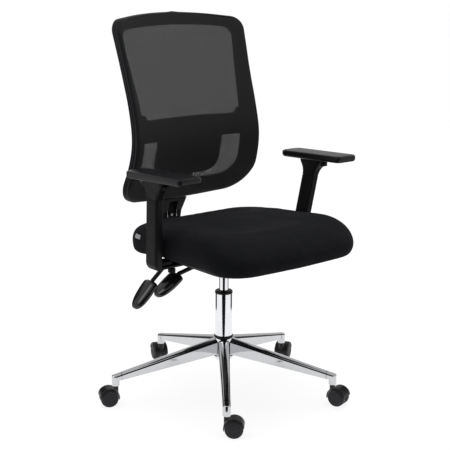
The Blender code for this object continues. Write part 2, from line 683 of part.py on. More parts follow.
def build_bracket(name, side, seat, plastic):
    """The outer sleeve and the blade that runs in under the seat, in one moulding."""
    half_x = POST_X / 2 + SLEEVE_WALL
    half_y = POST_Y / 2 + SLEEVE_WALL
    corner = POST_CORNER + SLEEVE_WALL
    low = SHELL_BOTTOM - GAP - BLADE_THICK - 0.002
    rings = []
    steps = 5
    start = math.radians(25)
    for step in range(steps + 1):
        angle = start + (math.pi / 2 - start) * step / steps
        pull = SLEEVE_TURN * (1 - math.sin(angle))
        level = low + SLEEVE_TURN * (math.cos(start) - math.cos(angle))
        wide = half_x - pull / 2
        rings.append(post_ring(side, level, wide, half_y - 0.15 * pull, min(corner, 0.8 * wide),
                               -side * pull / 2))
    rings.append(post_ring(side, SLEEVE_TOP, half_x, half_y, corner))
    sleeve = new_object(name, loft(rings), plastic, seat)
    foot = post_axis(side, low)
    top = SHELL_BOTTOM - GAP
    blade_y = half_y - 0.002
    outline = [(BLADE_INNER, -blade_y * 0.8), (abs(foot.x), -blade_y), (abs(foot.x), blade_y),
               (BLADE_INNER, blade_y * 0.8)]
    blade = prism([Vector((side * x, foot.y + y, top - BLADE_THICK)) for x, y in outline],
                  (0, 0, BLADE_THICK))
    combine(sleeve, tool(name + "_blade", blade, seat), "UNION")
    near = SEAT_HALF_WIDTH - 0.0425
    gusset = prism([Vector((side * x, foot.y + y, top - 0.002)) for x, y in
                    ((near, -blade_y * 0.7), (abs(foot.x), -blade_y * 0.7), (abs(foot.x), blade_y * 0.7),
                     (near, blade_y * 0.7))], (0, 0, SEAT_BOTTOM - 0.003 - top + 0.002))
    combine(sleeve, tool(name + "_gusset", gusset, seat), "UNION")
    cavity = [post_ring(side, z, POST_X / 2 + GAP, POST_Y / 2 + GAP, POST_CORNER)
              for z in (SLEEVE_FLOOR, SLEEVE_TOP + 0.02)]
    combine(sleeve, tool(name + "_cavity", loft(cavity), seat), "DIFFERENCE")


def build_knob(name, side, seat, plastic):
    """Hand knob below the blade that clamps the arm to the seat."""
    top = SHELL_BOTTOM - 2 * GAP - BLADE_THICK
    knob = turned(((0, top - 0.017), (0.0085, top - 0.017), (0.0105, top - 0.014),
                   (0.0105, top - 0.006), (0.0060, top - 0.004), (0.0060, top), (0, top)), 12)
    new_object(name, knob, plastic, seat, (side * 0.205, post_axis(side, 0.43).y, 0))


def build_post(name, side, arm, plastic):
    """The sliding post, and the neck that stands on the sleeve and flares out under the pad."""
    half_x = POST_X / 2
    half_y = POST_Y / 2
    rings = [post_ring(side, POST_BOTTOM, half_x - 0.001, half_y - 0.001, POST_CORNER),
             post_ring(side, NECK_START - GAP, half_x, half_y, POST_CORNER)]
    neck_x = half_x + SLEEVE_WALL
    neck_y = half_y + SLEEVE_WALL
    corner = POST_CORNER + SLEEVE_WALL
    for rise, wide, deep, shift in NECK_FLARE:
        rings.append(post_ring(side, NECK_START + rise, neck_x + wide, neck_y + deep, corner, 0, shift))
    top = post_ring(side, NECK_START + 0.044, neck_x + 0.008, neck_y + 0.020, corner, 0, -0.006)
    rings.append([Vector((p.x, p.y, pad_underside(p.y) - GAP)) for p in top])
    post = new_object(name, loft(rings), plastic, arm)
    pocket_front = post_axis(side, BUTTON_Z).y - 0.040
    pocket = box((-0.0083, -0.020, -0.0048), (0.0083, 0.0200, 0.0048))
    combine(post, tool(name + "_pocket", pocket, arm,
                       (post_axis(side, BUTTON_Z).x, pocket_front, BUTTON_Z)), "DIFFERENCE")


def build_button(name, side, arm, plastic):
    """Height release: a round-nosed tab that slides back into the neck."""
    centre = post_axis(side, BUTTON_Z)
    outline = rounded_outline(((-0.0080, 0.0120, 0.0), (-0.0080, -0.0135, 0.0055),
                               (0.0080, -0.0135, 0.0055), (0.0080, 0.0120, 0.0)), 3)
    tab = prism([Vector((p.x, p.y, -0.0045)) for p in outline], (0, 0, 0.009))
    button = new_object(name, tab, plastic, arm, (centre.x, centre.y - 0.0405, BUTTON_Z))
    bevel(button, 0.001, 1)


def build_pad(name, side, arm, plastic):
    length = PAD_REAR - PAD_FRONT
    outline = rounded_outline(((-PAD_HALF_WIDTH, -length / 2, 0.012), (PAD_HALF_WIDTH, -length / 2, 0.012),
                               (PAD_HALF_WIDTH, length / 2, 0.020), (-PAD_HALF_WIDTH, length / 2, 0.020)), 4)
    slab = prism([Vector((p.x, p.y, -PAD_THICK)) for p in outline], (0, 0, PAD_THICK))
    middle = ((PAD_FRONT_TOP + PAD_REAR_TOP) / 2)
    pad = new_object(name, slab, plastic, arm, (side * PAD_CENTRE_X, (PAD_FRONT + PAD_REAR) / 2, middle))
    tilt = math.atan2(PAD_FRONT_TOP - PAD_REAR_TOP, length)
    pad.rotation_euler = (-tilt, 0, 0)
    bevel(pad, 0.0045, 2)


def build_arm(label, side, seat, plastic):
    build_bracket("arm_bracket_" + label, side, seat, plastic)
    build_knob("arm_knob_" + label, side, seat, plastic)
    slide = empty("arm_slide_" + label, seat)
    build_post("arm_post_" + label, side, slide, plastic)
    build_pad("arm_pad_" + label, side, slide, plastic)
    build_button("arm_button_" + label, side, slide, plastic)


# ---------------------------------------------------------------- back
def back_surface(x, z):
    """Depth of the back's front surface: upright curve with a hollow across it."""
    return smooth_curve(BACK_PROFILE, z) + BACK_SAG * (1 - (x / BACK_SAG_WIDTH) ** 2)


def rim_mesh():
    """The rim: a grooved section carried round the outline and bent to the back's surface."""
    stations = 52
    outer = even_spaced(mirrored_outline(RIM_OUTER, 8), stations)
    inner = even_spaced(mirrored_outline(RIM_INNER, 8), stations)
    # (share of the way from the inner to the outer edge, depth)
    groove = 0.04
    section = ((0.0, 0.0130), (0.10, 0.0095), (0.88, 0.0), (1.0, 0.0045), (1.0, 0.0095),
               (1 - groove, 0.0110), (1.0, 0.0125), (1.0, 0.0195), (1 - groove, 0.0210), (1.0, 0.0225),
               (0.94, RIM_DEPTH), (0.06, RIM_DEPTH), (0.0, RIM_DEPTH - 0.003))
    bm = bmesh.new()
    rows = []
    for near, far in zip(inner, outer):
        row = []
        for share, depth in section:
            p = near.lerp(far, share)
            row.append(bm.verts.new((p.x, back_surface(p.x, p.y) + depth, p.y)))
        rows.append(row)
    for i in range(stations):
        this, following = rows[i], rows[(i + 1) % stations]
        for k in range(len(section)):
            j = (k + 1) % len(section)
            bm.faces.new((this[k], this[j], following[j], following[k]))
    return bm


def sheet_mesh(outline, x_cut, z_cut, setback, depth):
    """A plate with the given (x, z) outline, bent to the back's surface."""
    bm = bmesh.new()
    bm.faces.new([bm.verts.new((p.x, 0, p.y)) for p in outline])
    for axis, step in ((0, x_cut), (2, z_cut)):
        low = min(v.co[axis] for v in bm.verts)
        high = max(v.co[axis] for v in bm.verts)
        cuts = max(int((high - low) / step), 1)
        for k in range(1, cuts):
            place = Vector((0, 0, 0))
            place[axis] = low + (high - low) * k / cuts
            normal = Vector((0, 0, 0))
            normal[axis] = 1
            bmesh.ops.bisect_plane(bm, geom=bm.verts[:] + bm.edges[:] + bm.faces[:],
                                   dist=0.00001, plane_co=place, plane_no=normal)
    made = bmesh.ops.extrude_face_region(bm, geom=bm.faces[:])
    for item in made["geom"]:
        if isinstance(item, bmesh.types.BMVert):
            item.co.y = depth
    for vert in bm.verts:
        vert.co.y += back_surface(vert.co.x, vert.co.z) + setback
    return bm


def build_back_frame(back, plastic):
    frame = new_object("back_frame", rim_mesh(), plastic, back)
    panel = sheet_mesh(mirrored_outline(PANEL, 4), 0.042, 0.019, PANEL_SETBACK, PANEL_DEPTH)
    combine(frame, tool("back_panel", panel, back), "UNION")
    housing = sheet_mesh(mirrored_outline(HOUSING, 4), 0.042, 0.019,
                         PANEL_SETBACK + PANEL_DEPTH - 0.001, HOUSING_DEPTH)
    combine(frame, tool("back_housing", housing, back), "UNION")


def build_back_mesh(back, fabric):
    outline = [(x - math.copysign(MESH_INSET, x) if x else 0.0, z, r) for x, z, r in RIM_OUTER]
    outline[0] = (0.0, RIM_OUTER[0][1] + MESH_INSET, 0.0)
    outline[-1] = (0.0, RIM_OUTER[-1][1] - MESH_INSET, 0.0)
    for i in (1, 3):
        x, z, r = outline[i]
        outline[i] = (x, z + (MESH_INSET if i == 1 else -MESH_INSET), r)
    sheet = sheet_mesh(mirrored_outline(outline, 4), 0.055, 0.036, -MESH_GAP - MESH_THICK, MESH_THICK)
    new_object("back_mesh", sheet, fabric, back)


def build_carrier(back, plastic):
    """The block that slides on the spine bar and flares out to meet the rim."""
    top = RIM_BOTTOM - 0.0012
    side = [(CARRIER_REAR, CARRIER_BOTTOM), (CARRIER_REAR, CARRIER_TOP), (0.2520, CARRIER_TOP),
            (0.2520, top), (0.2270, top), (0.2430, top - 0.042), (0.2430, CARRIER_BOTTOM)]
    body = prism([Vector((-0.06, y, z)) for y, z in side], (0.12, 0, 0))
    carrier = new_object("back_carrier", body, plastic, back)
    low, high = CARRIER_BOTTOM - 0.02, CARRIER_TOP + 0.02
    right = [(CARRIER_HALF, low), (CARRIER_HALF, CARRIER_BOTTOM + 0.010), (CARRIER_FLARE, top + 0.0005),
             (CARRIER_HALF, top + 0.012), (CARRIER_HALF, high)]
    front = [Vector((x, z)) for x, z in right] + [Vector((-x, z)) for x, z in reversed(right)]
    shape = prism([Vector((p.x, 0.2, p.y)) for p in front], (0, 0.1, 0))
    combine(carrier, tool("carrier_shape", shape, back), "INTERSECT")
    slot = box((-BAR_WIDTH / 2 - GAP, BAR_Y - BAR_THICK / 2 - GAP, low),
               (BAR_WIDTH / 2 + GAP, BAR_Y + BAR_THICK / 2 + GAP, high))
    combine(carrier, tool("carrier_slot", slot, back), "DIFFERENCE")
    channel = box((-0.0153, 0.20, CARRIER_BOTTOM + 0.033), (0.0153, 0.2475, top - 0.010))
    combine(carrier, tool("carrier_channel", channel, back), "DIFFERENCE")


def build_spine(recline, steel):
    """The bent flat bar: hinge knuckle, level run below the seat, bend and upright."""
    half = BAR_THICK / 2
    level = HINGE_Z
    centre = Vector((BAR_Y - BAR_BEND, level + BAR_BEND))
    lower = [Vector((HINGE_Y, level - half))]
    upper = [Vector((HINGE_Y, level + half))]
    steps = 8
    for step in range(steps + 1):
        angle = math.radians(-90 + 90 * step / steps)
        ray = Vector((math.cos(angle), math.sin(angle)))
        lower.append(centre + ray * (BAR_BEND + half))
        upper.append(centre + ray * (BAR_BEND - half))
    lower.append(Vector((BAR_Y + half, BAR_TOP)))
    upper.append(Vector((BAR_Y - half, BAR_TOP)))
    outline = lower + list(reversed(upper))
    width = BAR_WIDTH / 2
    pivot = Vector((HINGE_Y, HINGE_Z))
    body = prism([Vector((-width, p.x - pivot.x, p.y - pivot.y)) for p in outline], (BAR_WIDTH, 0, 0))
    bar = new_object("back_spine", body, steel, recline)
    combine(bar, tool("spine_knuckle", cross_rod(BAR_WIDTH, 0.0105, 20), recline), "UNION")
    combine(bar, tool("spine_pin_hole", cross_rod(2 * BAR_WIDTH, PIN_RADIUS + GAP, 12), recline), "DIFFERENCE")


# ---------------------------------------------------------------- the chair
def build_chair():
    clear_scene()
    chrome = material("chrome", (0.82, 0.83, 0.85), 0.08, 1.0)
    steel = material("black_steel", (0.03, 0.03, 0.032), 0.45, 0.6)
    bright = material("zinc_steel", (0.55, 0.55, 0.56), 0.30, 1.0)
    black = material("black_nylon", (0.018, 0.018, 0.020), 0.50)
    gloss = material("gloss_black", (0.012, 0.012, 0.014), 0.16)
    tread = material("caster_tread", (0.030, 0.030, 0.033), 0.55)
    fabric = material("seat_fabric", (0.014, 0.014, 0.017), 0.92)
    net = material("mesh_fabric", (0.035, 0.035, 0.037), 0.80)
    nylon = material("white_nylon", (0.70, 0.70, 0.68), 0.45)

    chair = empty("chair", None, (AXIS_X, AXIS_Y, 0))
    build_base(chair, chrome, black)
    build_column(chair, chrome, black, nylon)
    for index in range(LEG_COUNT):
        build_caster(index, chair, black, tread, bright)

    lift = empty("lift_axis", chair)
    build_lift(chair, lift, bright)
    seat = empty("seat_body", lift)
    build_cylinder(seat, chrome)
    build_mechanism(seat, steel)
    build_seat(seat, fabric, black)
    build_lever("lift_lever", LIFT_LEVER, seat, black, gloss)
    build_lever("tilt_lever", TILT_LEVER, seat, black, gloss)
    build_arm("right", -1, seat, black)
    build_arm("left", 1, seat, black)

    recline = empty("recline_axis", seat, (0, HINGE_Y, HINGE_Z))
    build_spine(recline, steel)
    back = empty("back_slide", seat)
    build_carrier(back, black)
    build_back_frame(back, black)
    build_back_mesh(back, net)


build_chair()
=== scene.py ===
"""Looks of the swivel office chair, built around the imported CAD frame.

Metres, +Z up, the sitter faces -Y.  Shapes are made about the swivel axis and then moved
to it, so a point (x, y, z) here is measured from the axis on the floor.
"""

import math

import bmesh
import bpy
from mathutils import Matrix, Vector


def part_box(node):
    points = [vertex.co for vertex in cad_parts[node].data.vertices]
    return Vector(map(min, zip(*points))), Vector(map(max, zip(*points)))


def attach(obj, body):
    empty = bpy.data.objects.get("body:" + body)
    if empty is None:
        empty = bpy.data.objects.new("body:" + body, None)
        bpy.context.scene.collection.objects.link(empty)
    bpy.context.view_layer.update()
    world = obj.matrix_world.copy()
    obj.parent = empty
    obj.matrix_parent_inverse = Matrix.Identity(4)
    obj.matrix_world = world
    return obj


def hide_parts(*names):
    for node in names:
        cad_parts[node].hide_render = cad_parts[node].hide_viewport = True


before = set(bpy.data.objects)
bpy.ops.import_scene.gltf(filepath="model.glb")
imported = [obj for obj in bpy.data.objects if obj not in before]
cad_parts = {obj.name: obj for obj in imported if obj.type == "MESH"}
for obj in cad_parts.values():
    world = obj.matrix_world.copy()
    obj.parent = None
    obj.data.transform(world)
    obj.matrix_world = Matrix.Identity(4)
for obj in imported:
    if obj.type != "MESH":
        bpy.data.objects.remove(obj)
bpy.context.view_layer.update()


def middle(node):
    low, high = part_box(node)
    return (low + high) / 2


AXIS = Vector((middle("column_tube").x, middle("column_tube").y, 0))


def extent(node):
    """A node's lowest and highest corners, measured from the swivel axis."""
    low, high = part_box(node)
    return low - AXIS, high - AXIS


# ---------------------------------------------------------------- materials
class Finish:
    """A material in the making, with the node steps that the looks below share."""

    def __init__(self, name, **settings):
        self.mat = bpy.data.materials.new(name)
        self.mat.use_nodes = True
        self.tree = self.mat.node_tree
        self.shader = self.tree.nodes["Principled BSDF"]
        self.coords = self.node("TexCoord").outputs["Object"]
        self.set(self.shader, settings)

    def node(self, kind):
        return self.tree.nodes.new("ShaderNode" + kind)

    def link(self, output, node, socket):
        self.tree.links.new(output, node.inputs[socket])

    def set(self, node, settings):
        for socket, value in settings.items():
            node.inputs[socket.replace("_", " ")].default_value = value

    def texture(self, kind, output, **settings):
        tex = self.node("Tex" + kind)
        self.set(tex, settings)
        self.link(self.coords, tex, "Vector")
        return tex.outputs[output]

    def noise(self, scale, detail=3.0, roughness=0.55):
        return self.texture("Noise", "Fac", Scale=scale, Detail=detail, Roughness=roughness)

    def colour(self, value, first, last):
        """Base colour that follows a value between two (place, colour) stops."""
        node = self.node("ValToRGB")
        for element, (place, colour) in zip(node.color_ramp.elements, (first, last)):
            element.position = place
            element.color = (*colour, 1)
        self.link(value, node, "Fac")
        self.link(node.outputs["Color"], self.shader, "Base Color")

    def roughness(self, value, low, high):
        node = self.node("MapRange")
        self.set(node, {"From Min": 0.3, "From Max": 0.7, "To Min": low, "To Max": high})
        self.link(value, node, "Value")
        self.link(node.outputs["Result"], self.shader, "Roughness")

    def bump(self, height, strength, distance):
        node = self.node("Bump")
        self.set(node, {"Strength": strength, "Distance": distance})
        self.link(height, node, "Height")
        self.link(node.outputs["Normal"], self.shader, "Normal")

    def maths(self, operation, *values):
        node = self.node("Math")
        node.operation = operation
        for place, value in enumerate(values):
            if isinstance(value, (int, float)):
                node.inputs[place].default_value = value
            else:
                self.link(value, node, place)
        return node.outputs["Value"]


def shade(colour, factor):
    return tuple(min(channel * factor, 1.0) for channel in colour)


def plastic(name, colour, roughness, specular=0.35, grain=1400, depth=0.00012):
    """Moulded plastic: fine spark-eroded grain, slightly uneven gloss and colour."""
    look = Finish(name, Specular_IOR_Level=specular)
    look.colour(look.noise(9), (0.3, shade(colour, 0.88)), (0.7, shade(colour, 1.12)))
    look.roughness(look.noise(60, 5), roughness - 0.05, roughness + 0.06)
    look.bump(look.noise(grain, 2), 0.35, depth)
    return look.mat


def chrome(name, painted_shade_factor=1.0, low=0.035, high=0.085):
    """Chrome plate: bright, with faint polishing haze; a factor under one dims its colour as painted shade.
    """
    look = Finish(name, Metallic=1.0)
    haze = look.noise(26, 6, 0.7)
    look.colour(haze, (0.25, (0.74 * painted_shade_factor, 0.745 * painted_shade_factor, 0.77 * painted_shade_factor)),
                (0.75, (0.84 * painted_shade_factor, 0.845 * painted_shade_factor, 0.87 * painted_shade_factor)))
    look.roughness(haze, low, high)
    look.bump(look.noise(240, 2), 0.05, 0.0001)
    return look.mat


def steel(name, colour, roughness):
    """Zinc plate: drawn grain round the part and a little tarnish."""
    look = Finish(name, Metallic=1.0)
    look.colour(look.noise(40, 5), (0.3, shade(colour, 0.8)), (0.7, shade(colour, 1.1)))
    look.roughness(look.noise(500, 2), roughness - 0.06, roughness + 0.08)
    return look.mat


def powder_coat(name):
    """Black powder-coated steel: orange-peel skin."""
    look = Finish(name, Specular_IOR_Level=0.4)
    look.colour(look.noise(30), (0.3, (0.010,) * 3), (0.7, (0.015,) * 3))
    look.roughness(look.noise(90, 4), 0.34, 0.46)
    look.bump(look.noise(420, 2), 0.5, 0.0002)
    return look.mat


def upholstery(name):
    """Black woven cover: fine crossed yarns, a soft sheen and faint pile shading."""
    look = Finish(name, Specular_IOR_Level=0.07, Sheen_Weight=0.02, Sheen_Roughness=0.5)
    yarn = look.texture("Voronoi", "Distance", Scale=780)
    weave = look.maths("MULTIPLY_ADD", yarn, 0.6, look.noise(120, 4))
    look.colour(weave, (0.35, (0.0078, 0.0083, 0.0110)), (0.75, (0.0036, 0.0038, 0.0051)))
    look.roughness(look.noise(14), 0.80, 0.95)
    look.bump(weave, 0.55, 0.0006)
    return look.mat


def net(name):
    """Open knitted mesh: diamond holes between rounded black yarns."""
    look = Finish(name, Roughness=0.72, Specular_IOR_Level=0.2)
    parts = look.node("SeparateXYZ")
    look.link(look.coords, parts, "Vector")
    across = look.maths("MULTIPLY", parts.outputs["X"], math.pi / NET_PITCH)
    along = look.maths("MULTIPLY", parts.outputs["Z"], math.pi / (NET_PITCH * NET_STRETCH))
    one = look.maths("SINE", look.maths("ADD", across, along))
    other = look.maths("SINE", look.maths("SUBTRACT", across, along))
    cell = look.maths("ABSOLUTE", look.maths("MULTIPLY", one, other))
    hole = look.maths("GREATER_THAN", cell, NET_OPEN)
    look.link(look.maths("SUBTRACT", 1.0, hole), look.shader, "Alpha")
    look.colour(look.noise(700, 3), (0.3, (0.0078, 0.0079, 0.0088)), (0.7, (0.0128, 0.0130, 0.0142)))
    look.bump(look.maths("SUBTRACT", 1.0, cell), 0.5, 0.0005)
    return look.mat


def label(name):
    """Blank woven label: pale satin with faint woven bands."""
    look = Finish(name, Roughness=0.6)
    bands = look.texture("Wave", "Fac", Scale=420)
    look.colour(bands, (0.2, (0.16, 0.16, 0.165)), (0.8, (0.30, 0.30, 0.305)))
    return look.mat


def floor_paper(name):
    """White paper lit from below as well, so that shadows stay faint."""
    look = Finish(name, Emission_Color=(1, 1, 1, 1), Emission_Strength=0.84, Roughness=0.9,
                  Specular_IOR_Level=0.1)
    look.colour(look.noise(2), (0.3, (0.16, 0.16, 0.162)), (0.7, (0.17, 0.17, 0.17)))
    return look.mat


def flag_paper(name, low, high):
    """Dull dark card, mottled between two greys."""
    look = Finish(name, Roughness=1.0, Specular_IOR_Level=0.0)
    look.colour(look.noise(3), (0.3, (low,) * 3), (0.7, (high,) * 3))
    return look.mat


NET_PITCH = 0.0026                   # hole spacing across the back
NET_STRETCH = 1.15                   # hole spacing up the back, in pitches
NET_OPEN = 0.920                     # share of a cell that stays yarn
CHROME = chrome("chrome_plate")
# the legs' chrome is dimmed to 0.76 of the plate's colour: painted shade for the darker surroundings that
# the leg sides reflect under the seat
LEG_CHROME_PAINTED_SHADE = chrome("leg_chrome_painted_shade", 0.76, 0.06, 0.12)
ZINC = steel("zinc_plate", (0.56, 0.56, 0.57), 0.30)
BRIGHT = steel("bright_edge", (0.75, 0.76, 0.78), 0.18)
COAT = powder_coat("powder_coat")
FRAME_NYLON = plastic("back_frame_nylon", (0.0055, 0.0058, 0.0074), 0.55, 0.18)
ARM_NYLON = plastic("arm_nylon", (0.0037, 0.0039, 0.0049), 0.46, 0.14)
SHELL_NYLON = plastic("shell_nylon", (0.0040, 0.0040, 0.0044), 0.60, 0.12, 900, 0.0003)
PAD_SKIN = plastic("pad_skin", (0.0038, 0.0040, 0.0050), 0.32, 0.24, 520, 0.0004)
WHEEL_NYLON = plastic("wheel_nylon", (0.0130, 0.0134, 0.0160), 0.50, 0.25)
HOOD_NYLON = plastic("hood_nylon", (0.0045, 0.0045, 0.0050), 0.38, 0.28)
GLOSS = plastic("lever_gloss", (0.0060, 0.0062, 0.0068), 0.14, 0.55, 200, 0.00002)
RIBBED = plastic("lever_sleeve", (0.0070, 0.0070, 0.0075), 0.45, 0.40)
WHITE_NYLON = plastic("guide_nylon", (0.62, 0.62, 0.60), 0.45)
CLOTH = upholstery("seat_cover")
NET = net("back_net")
TAG = label("blank_tag")


# ---------------------------------------------------------------- shape helpers
def added(name, data):
    """A new object in the scene."""
    obj = bpy.data.objects.new(name, data)
    bpy.context.scene.collection.objects.link(obj)
    return obj


def to_mesh(name, bm):
    """A bmesh as mesh data; the bmesh is used up."""
    mesh = bpy.data.meshes.new(name)
    bm.to_mesh(mesh)
    bm.free()
    return mesh


def make(name, bm, mat, body, replaces=(), place=None, turn=0.0, smooth=35):
    """A finished mesh object standing at the swivel axis, or at a place measured from it."""
    bmesh.ops.recalc_face_normals(bm, faces=bm.faces)
    mesh = to_mesh(name, bm)
    mesh.shade_smooth()
    mesh.set_sharp_from_angle(angle=math.radians(smooth))
    mesh.materials.append(mat)
    obj = added(name, mesh)
    obj.location = AXIS + (Vector(place) if place else Vector((0, 0, 0)))
    obj.rotation_euler = (0, 0, turn)
    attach(obj, body)
    if replaces:
        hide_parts(*replaces)
    return obj


def turned(profile, sides=72, closed=False):
    """Spin an (r, z) profile about Z.  An open profile starts and ends on the axis."""
    bm = bmesh.new()
    verts = [bm.verts.new((r, 0, z)) for r, z in profile]
    pairs = list(zip(verts, verts[1:]))
    if closed:
        pairs.append((verts[-1], verts[0]))
    edges = [bm.edges.new(pair) for pair in pairs]
    bmesh.ops.spin(bm, geom=verts + edges, cent=(0, 0, 0), axis=(0, 0, 1),
                   angle=math.tau, steps=sides, use_merge=True)
    bmesh.ops.remove_doubles(bm, verts=bm.verts, dist=0.00001)
    return bm


def loft(rings, closed=False):
    """Skin over rings of equal length, with caps unless the rings run round in a loop."""
    bm = bmesh.new()
    rows = [[bm.verts.new(p) for p in ring] for ring in rings]
    count = len(rows[0])
    pairs = list(zip(rows, rows[1:]))
    if closed:
        pairs.append((rows[-1], rows[0]))
    for low, high in pairs:
        for i in range(count):
            j = (i + 1) % count
            bm.faces.new((low[i], low[j], high[j], high[i]))
    if not closed:
        bm.faces.new(list(reversed(rows[0])))
        bm.faces.new(rows[-1])
    return bm


def joined(*meshes):
    """One bmesh holding several."""
    whole = bmesh.new()
    for bm in meshes:
        part = to_mesh("part", bm)
        whole.from_mesh(part)
        bpy.data.meshes.remove(part)
    return whole


def level(outline, z):
    """A flat outline as a ring at height z."""
    return [Vector((p.x, p.y, z)) for p in outline]


def rod(radius, low, high, edge, sides):
    """Round bar about Z with eased edges."""
    return turned(fillet_profile(((0, low), (radius, low), (radius, high), (0, high)), edge), sides)


def angles(first, sweep, steps):
    """Evenly spaced angles, in radians, from a first one over a sweep, both in degrees."""
    return [math.radians(first + sweep * step / steps) for step in range(steps + 1)]


def new_verts(made):
    return [item for item in made["geom"] if isinstance(item, bmesh.types.BMVert)]


def path_normal(path, i):
    """Direction square to a flat path at its point i."""
    along = (path[min(i + 1, len(path) - 1)] - path[max(i - 1, 0)]).normalized()
    return Vector((-along.y, along.x))


def moved(bm, offset=(0, 0, 0), turn=None):
    if turn is not None:
        bmesh.ops.transform(bm, matrix=turn.to_4x4(), verts=bm.verts)
    bmesh.ops.translate(bm, verts=bm.verts, vec=Vector(offset))
    return bm


def fillet(before, corner, after, radius, steps):
    """Points of the arc of the given radius that rounds a corner between two straight runs."""
    if radius <= 0:
        return [corner]
    to_before = (before - corner).normalized()
    to_after = (after - corner).normalized()
    half = to_before.angle(to_after) / 2
    tangent = radius / math.tan(half)
    bisector = (to_before + to_after).normalized()
    centre = corner + bisector * (radius / math.sin(half))
    start = corner + to_before * tangent - centre
    end = corner + to_after * tangent - centre
    sweep = start.angle(end)
    points = []
    for step in range(steps + 1):
        t = step / steps
        arc = start * math.sin((1 - t) * sweep) + end * math.sin(t * sweep)
        points.append(centre + arc / math.sin(sweep))
    return points


def rounded_outline(corners, steps=6):
    """Outline through (x, y, radius) corners, each rounded to its radius."""
    points = []
    count = len(corners)
    for i, (x, y, radius) in enumerate(corners):
        before = Vector(corners[i - 1][:2])
        after = Vector(corners[(i + 1) % count][:2])
        points += fillet(before, Vector((x, y)), after, radius, steps)
    return points


def rounded_rectangle(half_x, half_y, radius, steps=5):
    return rounded_outline(((half_x, half_y, radius), (-half_x, half_y, radius),
                            (-half_x, -half_y, radius), (half_x, -half_y, radius)), steps)


def mirrored_outline(half, steps=10):
    """Closed outline from its +X half, which runs from the bottom centre to the top centre."""
    left = [(-x, y, radius) for x, y, radius in reversed(half[1:-1])]
    return rounded_outline(list(half) + left, steps)


def run_lengths(path):
    """Distance along the path at each of its points."""
    lengths = [0.0]
    for a, b in zip(path, path[1:]):
        lengths.append(lengths[-1] + (b - a).length)
    return lengths


def even_spaced(outline, count):
    """The outline as a given number of points, evenly spaced from its first point."""
    closed = list(outline) + [outline[0]]
    lengths = run_lengths(closed)
    points = []
    k = 0
    for i in range(count):
        want = lengths[-1] * i / count
        while lengths[k + 1] < want:
            k += 1
        span = lengths[k + 1] - lengths[k]
        points.append(closed[k].lerp(closed[k + 1], (want - lengths[k]) / span if span else 0))
    return points


def smooth_curve(keys, x, column=1):
    """Value at x of the smooth curve through the keys, which hold x first and the value in a column."""
    last = len(keys) - 1
    i = 0
    while i < last - 1 and x > keys[i + 1][0]:
        i += 1
    slopes = []
    for k in (i, i + 1):
        low = keys[max(k - 1, 0)]
        high = keys[min(k + 1, last)]
        slopes.append((high[column] - low[column]) / (high[0] - low[0]))
    span = keys[i + 1][0] - keys[i][0]
    t = (x - keys[i][0]) / span
    if not 0.0 <= t <= 1.0:
        near = 0 if t < 0 else 1
        return keys[i + near][column] + slopes[near] * (x - keys[i + near][0])
    return ((2 * t**3 - 3 * t**2 + 1) * keys[i][column] + (t**3 - 2 * t**2 + t) * span * slopes[0]
            + (3 * t**2 - 2 * t**3) * keys[i + 1][column] + (t**3 - t**2) * span * slopes[1])


def mix(a, b, t):
    return a + (b - a) * t


def fillet_profile(points, radius, steps=4):
    """An (r, z) profile with its inner corners rounded."""
    path = [Vector(p) for p in points]
    out = [path[0]]
    for before, corner, after in zip(path, path[1:], path[2:]):
        room = 0.45 * min((before - corner).length, (after - corner).length)
        half = (before - corner).angle(after - corner) / 2
        size = min(radius, room * math.tan(half))
        out += fillet(before, corner, after, size, steps)
    out.append(path[-1])
    return [(p.x, p.y) for p in out]


# ---------------------------------------------------------------- sizes shared with the CAD
LEG_ROOT = {"radius": 0.0285, "width": 0.033, "top": 0.1645, "depth": 0.046}
LEG_TIP = {"width": 0.022, "top": 0.0905, "depth": 0.0185}
LEG_WALL = 0.0025
LEG_SHOULDER = 0.30                  # radius of a leg's upper edges, in leg widths
LEG_CROWN = 0.06                     # rise of its top between them, in leg widths
SOCKET_RADIUS = 0.011
SOCKET_BOTTOM = 0.0575
HUB_RADIUS = 0.0290
COLUMN_RADIUS = 0.025
CYLINDER_RADIUS = 0.014
GAP = 0.0003

WHEEL_RADIUS = 0.025
WHEEL_THICK = 0.0185
WEB_HALF = 0.0025
HOOD_RADIUS = 0.0292
BOSS_RADIUS = 0.0075
BOSS_TOP = 0.0565

SEAT_HALF_WIDTH = 0.2535
SEAT_FRONT = -0.3340
SEAT_REAR = 0.180
SEAT_FRONT_CORNER = 0.102
SEAT_REAR_CORNER = 0.094
SEAT_HEIGHT = 0.062
SEAT_POINTS = 200                    # points round each ring of the cushion and the shell
SEAT_REST = 0.0004                   # from the shell's top to the cushion's flat underside
# (depth y, how far the top and the underside rise there above a level seat)
SEAT_SADDLE = ((-0.334, -0.012, -0.006), (-0.290, 0.002, -0.005), (-0.260, 0.012, -0.003),
               (-0.230, 0.020, 0.001), (-0.190, 0.026, 0.003), (-0.150, 0.025, 0.002),
               (-0.100, 0.021, 0.000), (0.000, 0.015, 0.000), (0.040, 0.011, -0.004),
               (0.090, 0.006, -0.012), (0.180, 0.000, -0.013))

# the arm post's axis passes through POST_POINT and leans out and forward going up
POST_POINT = Vector((0.2800, -0.0560, 0.6225))
POST_LEAN_OUT = 0.085
POST_LEAN_FORWARD = 0.152
POST_X = 0.022
POST_Y = 0.044
POST_CORNER = 0.006
SLEEVE_WALL = 0.0020
SLEEVE_TOP = 0.6140
SLEEVE_FLOOR = 0.4380
SLEEVE_TURN = 0.026
POST_BOTTOM = 0.4400
NECK_START = 0.6146
